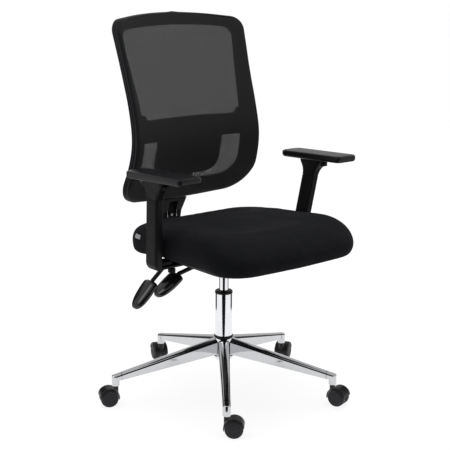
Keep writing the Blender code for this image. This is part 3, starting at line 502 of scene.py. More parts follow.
# (rise above the neck's start, how far it flares sideways, fore and aft, and how far it shifts)
NECK_FLARE = ((0.0, 0.0, 0.0, 0.0), (0.012, 0.0006, 0.0018, -0.0005), (0.022, 0.0018, 0.0060, -0.0015),
              (0.030, 0.0036, 0.0110, -0.0030), (0.037, 0.0056, 0.0160, -0.0040))
BLADE_THICK = 0.008
BLADE_INNER = 0.105
PAD_CENTRE_X = 0.277
PAD_HALF_WIDTH = 0.0375
PAD_FRONT = -0.204
PAD_REAR = 0.036
PAD_FRONT_TOP = 0.6890
PAD_REAR_TOP = 0.6800
PAD_THICK = 0.019
BUTTON_Z = 0.6510
PAD_TILT = math.atan2(PAD_FRONT_TOP - PAD_REAR_TOP, PAD_REAR - PAD_FRONT)

# the rim's front edge, height against depth, and how far the middle sits behind it
BACK_PROFILE = ((0.52, 0.1955), (0.59, 0.1538), (0.65, 0.1214), (0.7275, 0.1046),
                (0.81, 0.1172), (0.91, 0.1478), (1.08, 0.2018))
BACK_SAG = 0.037
BACK_SAG_WIDTH = 0.216
RIM_DEPTH = 0.028
PANEL_SETBACK = 0.0075
PANEL_DEPTH = 0.014
HOUSING_DEPTH = 0.017
MESH_SETBACK = -0.0022
MESH_INSET = 0.006
RIM_OUTER = ((0.0, 0.5300, 1.1), (0.2345, 0.5540, 0.078), (0.2125, 0.8175, 2.2),
             (0.2285, 1.0560, 0.036), (0.0, 1.0830, 1.3))
RIM_INNER = ((0.0, 0.5900, 0.9), (0.1850, 0.6000, 0.052), (0.1735, 0.7575, 1.2),
             (0.2010, 1.0290, 0.026), (0.0, 1.0440, 1.8))
PANEL = ((0.0, 0.5475, 0.0), (0.0300, 0.5475, 0.0), (0.0300, 0.6135, 0.006),
         (0.1080, 0.6165, 0.038), (0.1060, 0.7245, 0.006), (0.1930, 0.7245, 0.0),
         (0.1930, 0.8005, 0.0), (0.1650, 0.8005, 0.004), (0.1630, 0.7835, 0.012),
         (0.0, 0.7855, 0.0))
HOUSING = ((0.0, 0.6190, 0.0), (0.1050, 0.6190, 0.036), (0.1050, 0.7500, 0.006), (0.0, 0.7500, 0.0))

BAR_WIDTH = 0.040
BAR_THICK = 0.007
BAR_Y = 0.2583
BAR_TOP = 0.5875
BAR_BEND = 0.034
LEVER_RADIUS = 0.0060
PADDLE_HALF_WIDTH = 0.0290
PADDLE_HALF_THICK = 0.0130
# in the plane y = const: pivot, bend, paddle start, paddle tip as (x, z)
LEVERS = {"lift_lever": {"y": -0.020, "pivot": (-0.078, 0.3945), "bend": (-0.128, 0.3985),
                         "start": (-0.180, 0.3850), "tip": (-0.252, 0.3385)},
          "tilt_lever": {"y": 0.060, "pivot": (-0.078, 0.3945), "bend": (-0.160, 0.3945),
                         "start": (-0.2080, 0.3535), "tip": (-0.2680, 0.2880)}}


# ---------------------------------------------------------------- base and gas lift
def leg_arch(radius, width, top, depth, inset=0.0):
    """Cross-section of a leg from one bottom edge over the gently crowned top to the other."""
    shoulder = LEG_SHOULDER * width
    flank = width / 2 - shoulder
    crown = LEG_CROWN * width
    spring = top - crown - shoulder
    right = [(width / 2 - inset, top - depth)]
    for step in range(11):
        angle = 0.5 * math.pi * step / 10
        right.append((flank + math.cos(angle) * (shoulder - inset),
                      spring + math.sin(angle) * (shoulder - inset) + crown * 0.4 * (step / 10) ** 3))
    for step in range(1, 4):
        share = step / 4
        right.append((flank * (1 - share), top - inset - crown * 0.6 * (1 - share) ** 2))
    left = [Vector((radius, -y, z)) for y, z in right]
    return left + [Vector((radius, 0, top - inset))] + [Vector((radius, y, z)) for y, z in reversed(right)]


def leg_station(circle, t):
    """Radius, width, top and depth at share t of the way from the hub to the stem."""
    return (mix(LEG_ROOT["radius"] - 0.004, circle, t), mix(LEG_ROOT["width"], LEG_TIP["width"], t),
            mix(LEG_ROOT["top"] + 0.0009, LEG_TIP["top"], t), mix(LEG_ROOT["depth"], LEG_TIP["depth"], t))


def leg_mesh(circle):
    """Pressed tube, open below, closed and rounded round the caster socket at its end."""
    shell = []
    for step in range(13):
        station = leg_station(circle, 0.95 * step / 12)
        shell.append(leg_arch(*station) + list(reversed(leg_arch(*station, LEG_WALL))))
    nose = [leg_arch(*leg_station(circle, 0.94)), leg_arch(*leg_station(circle, 1.0))]
    radius, width, top, depth = leg_station(circle, 1.0)
    slope = (LEG_TIP["top"] - LEG_ROOT["top"]) / (circle - LEG_ROOT["radius"])
    for step in range(1, 8):
        angle = math.radians(78) * step / 7
        reach = math.sin(angle) * width / 2
        nose.append(leg_arch(radius + reach, width * math.cos(angle),
                             top + slope * reach - 0.0016 * (step / 7) ** 3, depth + slope * reach))
    socket = rod(SOCKET_RADIUS, SOCKET_BOTTOM, LEG_TIP["top"] - 0.006, 0.0009, 40)
    return joined(loft(shell), loft(nose), moved(socket, (circle, 0, 0)))


def build_base():
    for k in range(1, 6):
        stem = middle("caster_%d_stem" % k) - AXIS
        heading = math.atan2(stem.y, stem.x)
        make("leg_look_%d" % k, leg_mesh(stem.xy.length), LEG_CHROME_PAINTED_SHADE, "base",
             ["base_leg_%d" % k], turn=heading)
    low, high = extent("base_hub")
    bore = COLUMN_RADIUS + GAP
    hub = [(bore, low.z), (HUB_RADIUS - 0.0015, low.z), (HUB_RADIUS, low.z + 0.0015),
           (HUB_RADIUS, low.z + 0.006), (HUB_RADIUS - 0.0008, low.z + 0.0072),
           (HUB_RADIUS - 0.0008, high.z - 0.004), (HUB_RADIUS - 0.0014, high.z - 0.0012),
           (HUB_RADIUS - 0.0030, high.z), (bore, high.z)]
    make("hub_look", turned(hub, 96, closed=True), CHROME, "base", ["base_hub"])
    low, high = extent("hub_ring")
    ring = [(bore, low.z), (0.0270, low.z), (0.0273, low.z + 0.0006), (0.0273, high.z - 0.0030),
            (0.0268, high.z - 0.0010), (0.0260, high.z), (bore, high.z)]
    make("hub_ring_look", turned(ring, 96, closed=True), HOOD_NYLON, "base", ["hub_ring"])
    build_column()


def build_column():
    low, high = extent("column_tube")
    inner = COLUMN_RADIUS - 0.002
    tube = [(0.0055, low.z), (COLUMN_RADIUS - 0.003, low.z), (COLUMN_RADIUS, low.z + 0.003),
            (COLUMN_RADIUS, high.z - 0.0006), (COLUMN_RADIUS - 0.0006, high.z), (inner, high.z),
            (inner, low.z + 0.004), (0.0055, low.z + 0.004)]
    make("column_look", turned(tube, 128, closed=True), CHROME, "base", ["column_tube"])
    low, high = extent("column_collar")
    bore = CYLINDER_RADIUS + GAP
    collar = [(bore, low.z), (COLUMN_RADIUS + 0.0004, low.z), (COLUMN_RADIUS + 0.0005, low.z + 0.0006),
              (COLUMN_RADIUS + 0.0005, low.z + 0.0040), (COLUMN_RADIUS - 0.0003, low.z + 0.0058),
              (COLUMN_RADIUS - 0.0022, high.z), (bore + 0.0015, high.z), (bore, high.z - 0.0012)]
    make("collar_look", turned(collar, 96, closed=True), HOOD_NYLON, "base",
         ["column_collar"])
    low, high = extent("gas_cylinder")
    bore = CYLINDER_RADIUS - 0.0022
    cylinder = [(0, high.z - 0.010), (bore, high.z - 0.010), (bore, low.z),
                (CYLINDER_RADIUS - 0.001, low.z), (CYLINDER_RADIUS, low.z + 0.001),
                (CYLINDER_RADIUS, high.z - 0.048), (CYLINDER_RADIUS - 0.002, high.z - 0.002),
                (CYLINDER_RADIUS - 0.004, high.z), (0, high.z)]
    make("cylinder_look", turned(cylinder, 96), CHROME, "seat", ["gas_cylinder"])


# ---------------------------------------------------------------- casters
def wheel_bmesh(side, trail):
    """One wheel: crowned tread, grooved cap and a small hub button on its outer face."""
    thick = WHEEL_THICK
    tread = WHEEL_RADIUS
    profile = [(0, 0.0155), (0.0043, 0.0155), (0.0043, 0), (tread - 0.0022, 0),
               (tread - 0.0006, 0.0007), (tread, 0.0026), (tread, thick - 0.0052),
               (tread - 0.0007, thick - 0.0030), (tread - 0.0022, thick - 0.0014),
               (tread - 0.0042, thick - 0.0006), (tread - 0.0048, thick - 0.0016),
               (tread - 0.0058, thick - 0.0016), (tread - 0.0064, thick - 0.0004),
               (0.0120, thick - 0.0001), (0.0062, thick - 0.0001), (0.0058, thick - 0.0007),
               (0.0050, thick - 0.0007), (0.0044, thick), (0, thick)]
    bm = turned(profile, 72)
    turn = Matrix.Rotation(-side * math.pi / 2, 3, "X")
    return moved(bm, (trail, side * (WEB_HALF + GAP), WHEEL_RADIUS), turn)


def hood_bmesh(trail):
    """Arched cover over both wheels, the plate between them and the swivel boss."""
    half = WEB_HALF + GAP + WHEEL_THICK - 0.0008
    inner = WHEEL_RADIUS + 0.0009
    outer = HOOD_RADIUS
    section = [(-half, inner), (-half, outer - 0.0019), (-half + 0.0006, outer - 0.0010),
               (-half + 0.0022, outer - 0.0002), (-half + 0.0050, outer), (half - 0.0050, outer),
               (half - 0.0022, outer - 0.0002), (half - 0.0006, outer - 0.0010), (half, outer - 0.0019),
               (half, inner)]
    first, sweep, steps = -8, 176, 44

    def spot(angle, y, radius):
        return Vector((trail - math.cos(angle) * radius, y, WHEEL_RADIUS + math.sin(angle) * radius))

    rings = []
    for step, angle in enumerate(angles(first, sweep, steps)):
        ease = min(1.0, 5 * step / steps, 5 * (steps - step) / steps)
        fullness = mix(0.55, 1.0, ease ** 0.5)
        rings.append([spot(angle, y, inner + (r - inner) * fullness) for y, r in section])
    arch = loft(rings)
    plate = loft([[spot(angle, y, inner + 0.0008) for angle in angles(first, sweep, 24)]
                  for y in (-WEB_HALF, WEB_HALF)])
    web = rod(0.0125, -WEB_HALF, WEB_HALF, 0.0004, 32)
    web = moved(web, (trail, 0, WHEEL_RADIUS), Matrix.Rotation(math.pi / 2, 3, "X"))
    boss = turned(((0, BOSS_TOP - 0.024), (BOSS_RADIUS, BOSS_TOP - 0.024), (BOSS_RADIUS, BOSS_TOP - 0.0008),
                   (BOSS_RADIUS - 0.0008, BOSS_TOP), (0, BOSS_TOP)), 40)
    return joined(arch, plate, web, boss)


def build_casters():
    for k in range(1, 6):
        stem = middle("caster_%d_stem" % k) - AXIS
        axle = middle("caster_%d_axle" % k) - AXIS
        heading = math.atan2(axle.y - stem.y, axle.x - stem.x)
        trail = (axle.xy - stem.xy).length
        place = (stem.x, stem.y, 0)
        hood = make("caster_hood_%d" % k, hood_bmesh(trail), HOOD_NYLON, "caster_%d" % k,
                    ["caster_%d_housing" % k], place, heading)
        hood.visible_glossy = False
        for side, letter in ((-1, "a"), (1, "b")):
            wheel = make("caster_wheel_%d%s" % (k, letter), wheel_bmesh(side, trail), WHEEL_NYLON,
                         "wheel_%d%s" % (k, letter), ["caster_%d_wheel_%s" % (k, letter)],
                         place, heading)
            wheel.visible_glossy = False


# ---------------------------------------------------------------- seat
def seat_outline(inset, steps=12):
    """Plan of the seat at an inset from its widest line: a little narrower at the rear."""
    wide = SEAT_HALF_WIDTH - inset
    front = SEAT_FRONT + inset
    rear = SEAT_REAR - inset
    ratio = (wide / SEAT_HALF_WIDTH) ** 2
    right = ((0, front, 1.2 * ratio), (wide + 0.003, front + 0.012, SEAT_FRONT_CORNER - 0.5 * inset),
             (wide - 0.001, -0.05, 0.8 * ratio),
             (wide - 0.016, rear - 0.004, SEAT_REAR_CORNER - 0.5 * inset))
    left = tuple((-x, y, radius) for x, y, radius in right[:0:-1])
    return rounded_outline(right + ((0, rear, ratio),) + left, steps)


def seat_rise(y, share):
    """Height added at depth y: the underside's rise at share 0, the top's rise at share 1."""
    top, under = (smooth_curve(SEAT_SADDLE, y, column) for column in (1, 2))
    return under + (top - under) * share


def cushion_bmesh(bottom):
    # (inset from the widest line, share of the height, weight of the saddle, its share of the top's rise)
    stations = ((0.140, 0.00, 0.0, 0.0), (0.042, 0.00, 0.0, 0.0), (0.033, 0.00, 0.7, 0.0),
                (0.026, 0.01, 1.0, 0.0), (0.015, 0.06, 1.0, 0.0), (0.009, 0.14, 1.0, 0.0),
                (0.003, 0.27, 1.0, 0.1), (0.000, 0.42, 1.0, 0.3), (0.000, 0.56, 1.0, 0.5),
                (0.002, 0.70, 1.0, 0.7), (0.006, 0.81, 1.0, 0.9), (0.012, 0.89, 1.0, 1.0),
                (0.021, 0.955, 1.0, 1.0), (0.034, 1.00, 1.0, 1.0), (0.070, 1.035, 1.0, 0.95),
                (0.120, 1.06, 1.0, 0.80), (0.150, 1.14, 0.6, 0.60), (0.200, 1.26, 0.15, 0.2))
    rings = []
    for inset, height, weight, share in stations:
        z = bottom + height * SEAT_HEIGHT
        rings.append([Vector((p.x, p.y, z + weight * seat_rise(p.y, share)))
                      for p in even_spaced(seat_outline(inset), SEAT_POINTS)])
    return loft(rings)


def baked(obj):
    """Turn the object's modifiers into its mesh."""
    graph = bpy.context.evaluated_depsgraph_get()
    mesh = bpy.data.meshes.new_from_object(obj.evaluated_get(graph))
    obj.modifiers.clear()
    obj.data = mesh
    return obj


def inflate(obj, voxel, pressure, most, floor):
    """Cloth-simulate the cover over its foam: it swells slightly, and stays flat where it rests."""
    remesh = obj.modifiers.new("remesh", "REMESH")
    remesh.mode = "VOXEL"
    remesh.voxel_size = voxel
    baked(obj)
    smooth_mesh(obj, 6)
    free_above = 0.014                   # height over the floor from which it swells in full
    start = [v.co.copy() for v in obj.data.vertices]
    cloth = obj.modifiers.new("cloth", "CLOTH")
    cloth.settings.use_pressure = True
    cloth.settings.uniform_pressure_force = pressure
    cloth.settings.effector_weights.gravity = 0
    cloth.settings.quality = 5
    for step in range(1, 21):
        bpy.context.scene.frame_set(step)
    graph = bpy.context.evaluated_depsgraph_get()
    swollen = [v.co.copy() for v in obj.evaluated_get(graph).data.vertices]
    obj.modifiers.clear()
    bpy.context.scene.frame_set(1)
    for vert, before, after in zip(obj.data.vertices, start, swollen):
        shift = after - before
        if shift.length > most:
            shift *= most / shift.length
        freedom = min(max((before.z - floor) / free_above, 0.0), 1.0)
        vert.co = before + shift * freedom
    smooth_mesh(obj, 3)


def smooth_mesh(obj, rounds):
    bm = bmesh.new()
    bm.from_mesh(obj.data)
    for _ in range(rounds):
        bmesh.ops.smooth_vert(bm, verts=bm.verts, factor=0.5, use_axis_x=True, use_axis_y=True,
                              use_axis_z=True)
    bm.to_mesh(obj.data)
    bm.free()


def build_seat():
    seat_bottom = shell_top() + SEAT_REST
    cushion = make("cushion_cover", cushion_bmesh(seat_bottom), CLOTH, "seat",
                   ["seat_cushion"], smooth=180)
    shrink(cushion, 0.0022)
    inflate(cushion, voxel=0.006, pressure=4.0, most=0.0045, floor=seat_bottom)
    settle(cushion, extent("seat_cushion")[0].z)
    subsurf = cushion.modifiers.new("subdivision", "SUBSURF")
    subsurf.levels = 1
    subsurf.render_levels = 1
    baked(cushion)
    cushion.data.shade_smooth()
    build_tag(cushion)

    low, high = extent("seat_shell")
    bottom = low.z
    thick = high.z - low.z
    rings = []
    for inset, height in ((0.060, 0.0), (0.0565, 0.04), (0.0545, 0.14), (0.0455, 0.86), (0.0442, 0.97),
                          (0.0450, 1.0)):
        rings.append(level(even_spaced(seat_outline(inset), SEAT_POINTS), bottom + thick * height))
    make("shell_look", loft(rings), SHELL_NYLON, "seat", ["seat_shell"])


def shrink(obj, amount):
    """Pull the surface in along its normals."""
    normals = [v.normal.copy() for v in obj.data.vertices]
    for vert, normal in zip(obj.data.vertices, normals):
        vert.co -= normal * amount


def settle(obj, floor):
    for vert in obj.data.vertices:
        vert.co.z = max(vert.co.z, floor)


def build_tag(cushion):
    """Blank woven label sewn to the rear corner of the cushion's right side."""
    graph = bpy.context.evaluated_depsgraph_get()
    cushion_eval = cushion.evaluated_get(graph)
    bm = bmesh.new()
    columns, rows = 14, 6
    first, last, low, high = 155, 168, 0.4745, 0.4855      # degrees round the seat, heights
    grid = []
    for i in range(columns + 1):
        line = []
        for j in range(rows + 1):
            angle = math.radians(mix(first, last, i / columns))
            origin = Vector((-0.12, 0.05, mix(low, high, j / rows)))
            ray = Vector((math.cos(angle), math.sin(angle), 0))
            far = origin + ray * 0.3
            found, place, normal, _ = cushion_eval.ray_cast(far, -ray)
            line.append(bm.verts.new(place + normal * 0.0006 if found else origin))
        grid.append(line)
    for i in range(columns):
        for j in range(rows):
            bm.faces.new((grid[i][j], grid[i + 1][j], grid[i + 1][j + 1], grid[i][j + 1]))
    outward = math.radians(151)
    for vert in new_verts(bmesh.ops.extrude_face_region(bm, geom=bm.faces[:])):
        vert.co -= Vector((math.cos(outward), math.sin(outward), 0)) * 0.0008
    make("blank_label", bm, TAG, "seat")


# ---------------------------------------------------------------- levers and mechanism
def lever_path(lever, steps):
    """Centre line from the pivot, along the shaft and down to the paddle."""
    pivot = Vector(lever["pivot"])
    bend = Vector(lever["bend"])
    start = Vector(lever["start"])
    into_paddle = (Vector(lever["tip"]) - start).normalized() * LEVER_RADIUS
    rough = [pivot] + fillet(pivot, bend, start, 0.045, 10) + [start - into_paddle, start]
    return resample(rough, steps)


def resample(path, steps):
    """The path as evenly spaced points."""
    lengths = run_lengths(path)
    points = []
    k = 0
    for i in range(steps + 1):
        want = lengths[-1] * i / steps
        while k < len(path) - 2 and lengths[k + 1] < want:
            k += 1
        points.append(path[k].lerp(path[k + 1], (want - lengths[k]) / (lengths[k + 1] - lengths[k])))
    return points


def tube_rings(path, radii, sides, power=2.0):
    """Round rings across a path of (x, z) points; a power over 2 makes them squarer."""
    rings = []
    for i, point in enumerate(path):
        normal = path_normal(path, i)
        ring = []
        for k in range(sides):
            angle = math.tau * k / sides
            cos, sin = math.cos(angle), math.sin(angle)
            cos = math.copysign(abs(cos) ** (2 / power), cos)
            sin = math.copysign(abs(sin) ** (2 / power), sin)
            flat = point + normal * cos * radii[i][0]
            ring.append(Vector((flat.x, sin * radii[i][1], flat.y)))
        rings.append(ring)
    return rings


def build_lever(name, lever):
    """Ribbed flexible shaft and a leaf-shaped gloss paddle with a square shoulder."""
    place = (lever["pivot"][0], lever["y"], lever["pivot"][1])
    pivot = Vector(lever["pivot"])
    ribs_per_metre = 330
    path = [point - pivot for point in lever_path(lever, 150)]
    length = run_lengths(path)[-1]
    radii = []
    for i in range(len(path)):
        travelled = length * i / (len(path) - 1)
        wave = 0.5 + 0.5 * math.sin(math.tau * ribs_per_metre * travelled)
        radius = LEVER_RADIUS - 0.0004 + 0.0007 * wave
        radii.append((radius, radius))
    make(name + "_sleeve", loft(tube_rings(path, radii, 28)), RIBBED, name,
         [name + "_shaft"], place)
    start = Vector(lever["start"]) - pivot
    tip = Vector(lever["tip"]) - pivot
    along = (tip - start).normalized()
    start += along * GAP
    keys_wide = ((0.0, 0.70), (0.02, 0.84), (0.07, 0.97), (0.25, 1.0), (0.45, 0.98), (0.68, 0.88),
                 (0.85, 0.70), (0.95, 0.48), (1.0, 0.26))
    keys_thick = ((0.0, 0.64), (0.02, 0.78), (0.07, 0.92), (0.20, 1.0), (0.45, 1.0), (0.68, 0.92),
                  (0.85, 0.76), (0.95, 0.54), (1.0, 0.28))
    stations = []
    radii = []
    steps = 40
    for i in range(steps + 1):
        t = 1 - (1 - i / steps) ** 1.25
        stations.append(start + (tip - start) * t)
        radii.append((PADDLE_HALF_THICK * smooth_curve(keys_thick, t),
                      PADDLE_HALF_WIDTH * smooth_curve(keys_wide, t)))
    for share in (0.75, 0.35):
        stations.append(tip + along * 0.0004 * (1 - share))
        radii.append((radii[steps][0] * share, radii[steps][1] * share))
    make(name + "_leaf", loft(tube_rings(stations, radii, 48, 2.2)), GLOSS, name,
         [name + "_paddle"], place, smooth=50)


def build_spine():
    """Bent flat bar with rounded edges: hinge knuckle, level run, bend and upright."""
    pin = middle("recline_pin") - AXIS
    centre = Vector((BAR_Y - BAR_BEND, pin.z + BAR_BEND))
    path = [Vector((pin.y, pin.z)), Vector((mix(pin.y, centre.x, 0.5), pin.z))]
    for angle in angles(-90, 90, 24):
        path.append(centre + Vector((math.cos(angle), math.sin(angle))) * BAR_BEND)
    path.append(Vector((BAR_Y, BAR_TOP)))
    rings = []
    for i, point in enumerate(path):
        normal = path_normal(path, i)
        ring = []
        for p in rounded_rectangle(BAR_WIDTH / 2, BAR_THICK / 2, 0.0014, 4):
            spot = point + normal * p.y
            ring.append(Vector((p.x, spot.x, spot.y)))
        rings.append(ring)
    knuckle = rod(0.0105, -BAR_WIDTH / 2, BAR_WIDTH / 2, 0.0008, 48)
    knuckle = moved(knuckle, (0, pin.y, pin.z), Matrix.Rotation(math.pi / 2, 3, "Y"))
    make("spine_look", joined(loft(rings), knuckle), COAT, "recline", ["back_spine"])


# ---------------------------------------------------------------- arms
def post_axis(side, z):
    rise = z - POST_POINT.z
    x = side * (POST_POINT.x + POST_LEAN_OUT * rise)
    return Vector((x, POST_POINT.y - POST_LEAN_FORWARD * rise, z))


def post_ring(side, z, half_x, half_y, corner, shift_x=0.0, shift_y=0.0):
    centre = post_axis(side, z)
    return [Vector((centre.x + shift_x + p.x, centre.y + shift_y + p.y, z))
            for p in rounded_rectangle(half_x, half_y, corner, 8)]


def pad_underside(y):
    share = (y - PAD_FRONT) / (PAD_REAR - PAD_FRONT)
    return mix(PAD_FRONT_TOP, PAD_REAR_TOP, share) - PAD_THICK


def bracket_bmesh(side):
    """Hollow outer sleeve on a foot that curves in to the blade under the seat."""
    half_x = POST_X / 2 + SLEEVE_WALL
    half_y = POST_Y / 2 + SLEEVE_WALL
    corner = POST_CORNER + SLEEVE_WALL
    shell_bottom = extent("seat_shell")[0].z
    low = shell_bottom - GAP - BLADE_THICK - 0.002
    rings = []
    steps = 14
    start = math.radians(25)
    for step in range(steps + 1):
        angle = start + (math.pi / 2 - start) * step / steps
        pull = SLEEVE_TURN * (1 - math.sin(angle))
        z = low + SLEEVE_TURN * (math.cos(start) - math.cos(angle))
        wide = half_x - pull / 2
        deep = half_y - 0.15 * pull
        rounding = min(corner, 0.8 * wide)
        ring = post_ring(side, z, wide, deep, rounding, -side * pull / 2)
        if step == 0:
            rings.append(post_ring(side, z, wide - 0.002, deep - 0.002, rounding - 0.001, -side * pull / 2))
            ring = [p + Vector((0, 0, 0.0008)) for p in ring]
        rings.append(ring)
    for drop, inset, radius in ((0.0010, 0, corner), (0.0003, 0.0003, corner),
                                (0, 0.0008, corner - 0.0006)):
        rings.append(post_ring(side, SLEEVE_TOP - drop, half_x - inset, half_y - inset, radius))
    gap = GAP + 0.0001
    for z in (SLEEVE_TOP, SLEEVE_FLOOR):
        rings.append(post_ring(side, z, POST_X / 2 + gap, POST_Y / 2 + gap, POST_CORNER))
    foot = post_axis(side, low)
    top = shell_bottom - GAP
    blade_y = half_y - 0.002
    blade = []
    for x, half in ((BLADE_INNER, 0.76), (BLADE_INNER + 0.004, 0.80),
                    (mix(BLADE_INNER, abs(foot.x), 0.5), 0.9), (abs(foot.x), 1.0)):
        blade.append([Vector((side * x, foot.y + p.x, top - BLADE_THICK / 2 + p.y))
                      for p in rounded_rectangle(blade_y * half, BLADE_THICK / 2, 0.002, 4)])
    near = SEAT_HALF_WIDTH - 0.0425
    gusset = slab((abs(foot.x) - near) / 2, blade_y * 0.7, (shell_top() - top + 0.002) / 2, 0.002, 0.001)
    place = (side * (abs(foot.x) + near) / 2, foot.y, (shell_top() + top - 0.002) / 2)
    return joined(loft(rings), loft(blade), moved(gusset, place))


def shell_top():
    return extent("seat_shell")[1].z


def knob_bmesh():
    """Fluted hand knob, its top at z = 0."""
    rings = []
    sides = 96
    for r, z, flute in ((0.0080, -0.0170, 0.0), (0.0095, -0.0166, 0.3), (0.0104, -0.0150, 1.0),
                        (0.0105, -0.0070, 1.0), (0.0098, -0.0055, 0.4), (0.0064, -0.0046, 0.0),
                        (0.0060, -0.0040, 0.0), (0.0060, 0.0, 0.0)):
        ring = []
        for k in range(sides):
            angle = math.tau * k / sides
            cut = 0.0007 * flute * (0.5 - 0.5 * math.cos(12 * angle))
            ring.append(Vector((math.cos(angle) * (r - cut), math.sin(angle) * (r - cut), z)))
        rings.append(ring)
    return loft(rings)


def post_bmesh(side):
    """The sliding post, and the neck that stands on the sleeve and flares out under the pad."""
    half_x = POST_X / 2
    half_y = POST_Y / 2
    rings = [post_ring(side, POST_BOTTOM, half_x - 0.001, half_y - 0.001, POST_CORNER - 0.001),
             post_ring(side, NECK_START - GAP, half_x, half_y, POST_CORNER)]
    corner = POST_CORNER + SLEEVE_WALL
    steps = 24
    reach = NECK_FLARE[-1][0]
    neck_x = half_x + SLEEVE_WALL
    neck_y = half_y + SLEEVE_WALL
    eased = 0.0005
    rings.append(post_ring(side, NECK_START, neck_x - eased, neck_y - eased, corner))
    for step in range(1, steps + 1):
        rise = reach * step / steps
        wide, deep, shift = (smooth_curve(NECK_FLARE, rise, column) for column in (1, 2, 3))
        rings.append(post_ring(side, NECK_START + rise, neck_x + wide, neck_y + deep, corner, 0, shift))
    top = post_ring(side, NECK_START + 0.044, neck_x + 0.008, neck_y + 0.020, corner, 0, -0.006)
    rings.append([Vector((p.x, p.y, pad_underside(p.y) - GAP)) for p in top])
    return loft(rings)


def cut(obj, tool_bm):
    """Take a shape, given about the swivel axis, out of an object."""
    bmesh.ops.recalc_face_normals(tool_bm, faces=tool_bm.faces)
    tool = added("tool", to_mesh("tool", tool_bm))
    tool.location = AXIS
    mod = obj.modifiers.new("cut", "BOOLEAN")
    mod.operation = "DIFFERENCE"
    mod.solver = "EXACT"
    mod.object = tool
    bpy.context.view_layer.update()
    baked(obj)
    obj.data.shade_smooth()
    obj.data.set_sharp_from_angle(angle=math.radians(35))
    bpy.data.objects.remove(tool, do_unlink=True)


def slab(half_x, half_y, half_z, corner, edge):
    """Rounded block about its own middle, its corners rounded in plan and its edges eased."""
    rings = []
    for inset, z in ((edge, -half_z), (edge * 0.3, -half_z + edge * 0.3), (0, -half_z + edge),
                     (0, half_z - edge), (edge * 0.3, half_z - edge * 0.3), (edge, half_z)):
        plan = rounded_rectangle(half_x - inset, half_y - inset, max(corner - inset, edge / 3), 5)
        rings.append(level(plan, z))
    return loft(rings)


def pad_bmesh():
    """Soft arm pad about the middle of its top: crisp edge line, slightly crowned top."""
    length = PAD_REAR - PAD_FRONT
    profile = ((0.0065, -PAD_THICK), (0.0040, -PAD_THICK + 0.0006), (0.0018, -PAD_THICK + 0.0024),
               (0.0006, -PAD_THICK + 0.0050), (0.0000, -PAD_THICK + 0.0080), (0.0000, -0.0052),
               (0.0003, -0.0040), (0.0012, -0.0024), (0.0018, -0.0019), (0.0021, -0.0012),
               (0.0030, -0.0005), (0.0048, 0.0000), (0.0100, 0.0004), (0.0200, 0.0006))
    rings = []
    for inset, z in profile:
        half_x = PAD_HALF_WIDTH - inset
        half_y = length / 2 - inset
        front, rear = (max(radius - inset * 0.5, 0.002) for radius in (0.012, 0.020))
        outline = rounded_outline(((-half_x, -half_y, front), (half_x, -half_y, front),
                                   (half_x, half_y, rear), (-half_x, half_y, rear)), 9)
        rings.append(level(outline, z))
    return loft(rings)


def build_arm(label, side):
    make("arm_sleeve_" + label, bracket_bmesh(side), ARM_NYLON, "seat",
         ["arm_bracket_" + label])
    knob = middle("arm_knob_" + label) - AXIS
    top = extent("arm_knob_" + label)[1].z
    make("arm_hand_knob_" + label, knob_bmesh(), ARM_NYLON, "seat",
         ["arm_knob_" + label], (knob.x, knob.y, top))
    arm = "arm_" + label
    post = make("arm_stalk_" + label, post_bmesh(side), ARM_NYLON, arm,
                ["arm_post_" + label])
    centre = post_axis(side, BUTTON_Z)
    cut(post, moved(slab(0.0083, 0.0200, 0.0048, 0.0002, 0.0004), (centre.x, centre.y - 0.040, BUTTON_Z)))
    tab = slab(0.0080, 0.01275, 0.0045, 0.0050, 0.0010)
    make("arm_release_" + label, moved(tab, (0, -0.0007, 0)), ARM_NYLON, "button_" + label,
         ["arm_button_" + label], (centre.x, centre.y - 0.0405, BUTTON_Z))
    pad = make("arm_top_" + label, moved(pad_bmesh(), turn=Matrix.Rotation(-PAD_TILT, 3, "X")),
               PAD_SKIN, arm, ["arm_pad_" + label],
               (side * PAD_CENTRE_X, (PAD_FRONT + PAD_REAR) / 2, (PAD_FRONT_TOP + PAD_REAR_TOP) / 2))
    pad.data.set_sharp_from_angle(angle=math.radians(60))


# ---------------------------------------------------------------- back
def back_surface(x, z):
    return smooth_curve(BACK_PROFILE, z) + BACK_SAG * (1 - (x / BACK_SAG_WIDTH) ** 2)


def rim_bmesh():
    """The rim: a twice-grooved section carried round the outline and bent to the back's surface."""
    stations = 280
    outer = even_spaced(mirrored_outline(RIM_OUTER, 16), stations)
    inner = even_spaced(mirrored_outline(RIM_INNER, 16), stations)
    # (share of the way from the inner to the outer edge, depth)
    section = ((0.0, 0.0130), (0.02, 0.0114), (0.10, 0.0095), (0.50, 0.0047), (0.84, 0.0006),
               (0.93, 0.0004), (0.97, 0.0016), (0.99, 0.0034), (1.0, 0.0060), (1.0, 0.0092),
               (0.985, 0.0098), (0.95, 0.0102), (0.95, 0.0122), (0.985, 0.0126), (1.0, 0.0132),
               (1.0, 0.0188), (0.985, 0.0194), (0.95, 0.0198), (0.95, 0.0214), (0.985, 0.0218),
               (1.0, 0.0224), (0.995, 0.0250), (0.97, 0.0272), (0.92, RIM_DEPTH), (0.08, RIM_DEPTH),
               (0.02, 0.0272), (0.0, 0.0250))
    rows = []
    for near, far in zip(inner, outer):
        row = []
        for share, depth in section:
            p = near.lerp(far, share)
            row.append(Vector((p.x, back_surface(p.x, p.y) + depth, p.y)))
        rows.append(row)
    return loft(rows, closed=True)


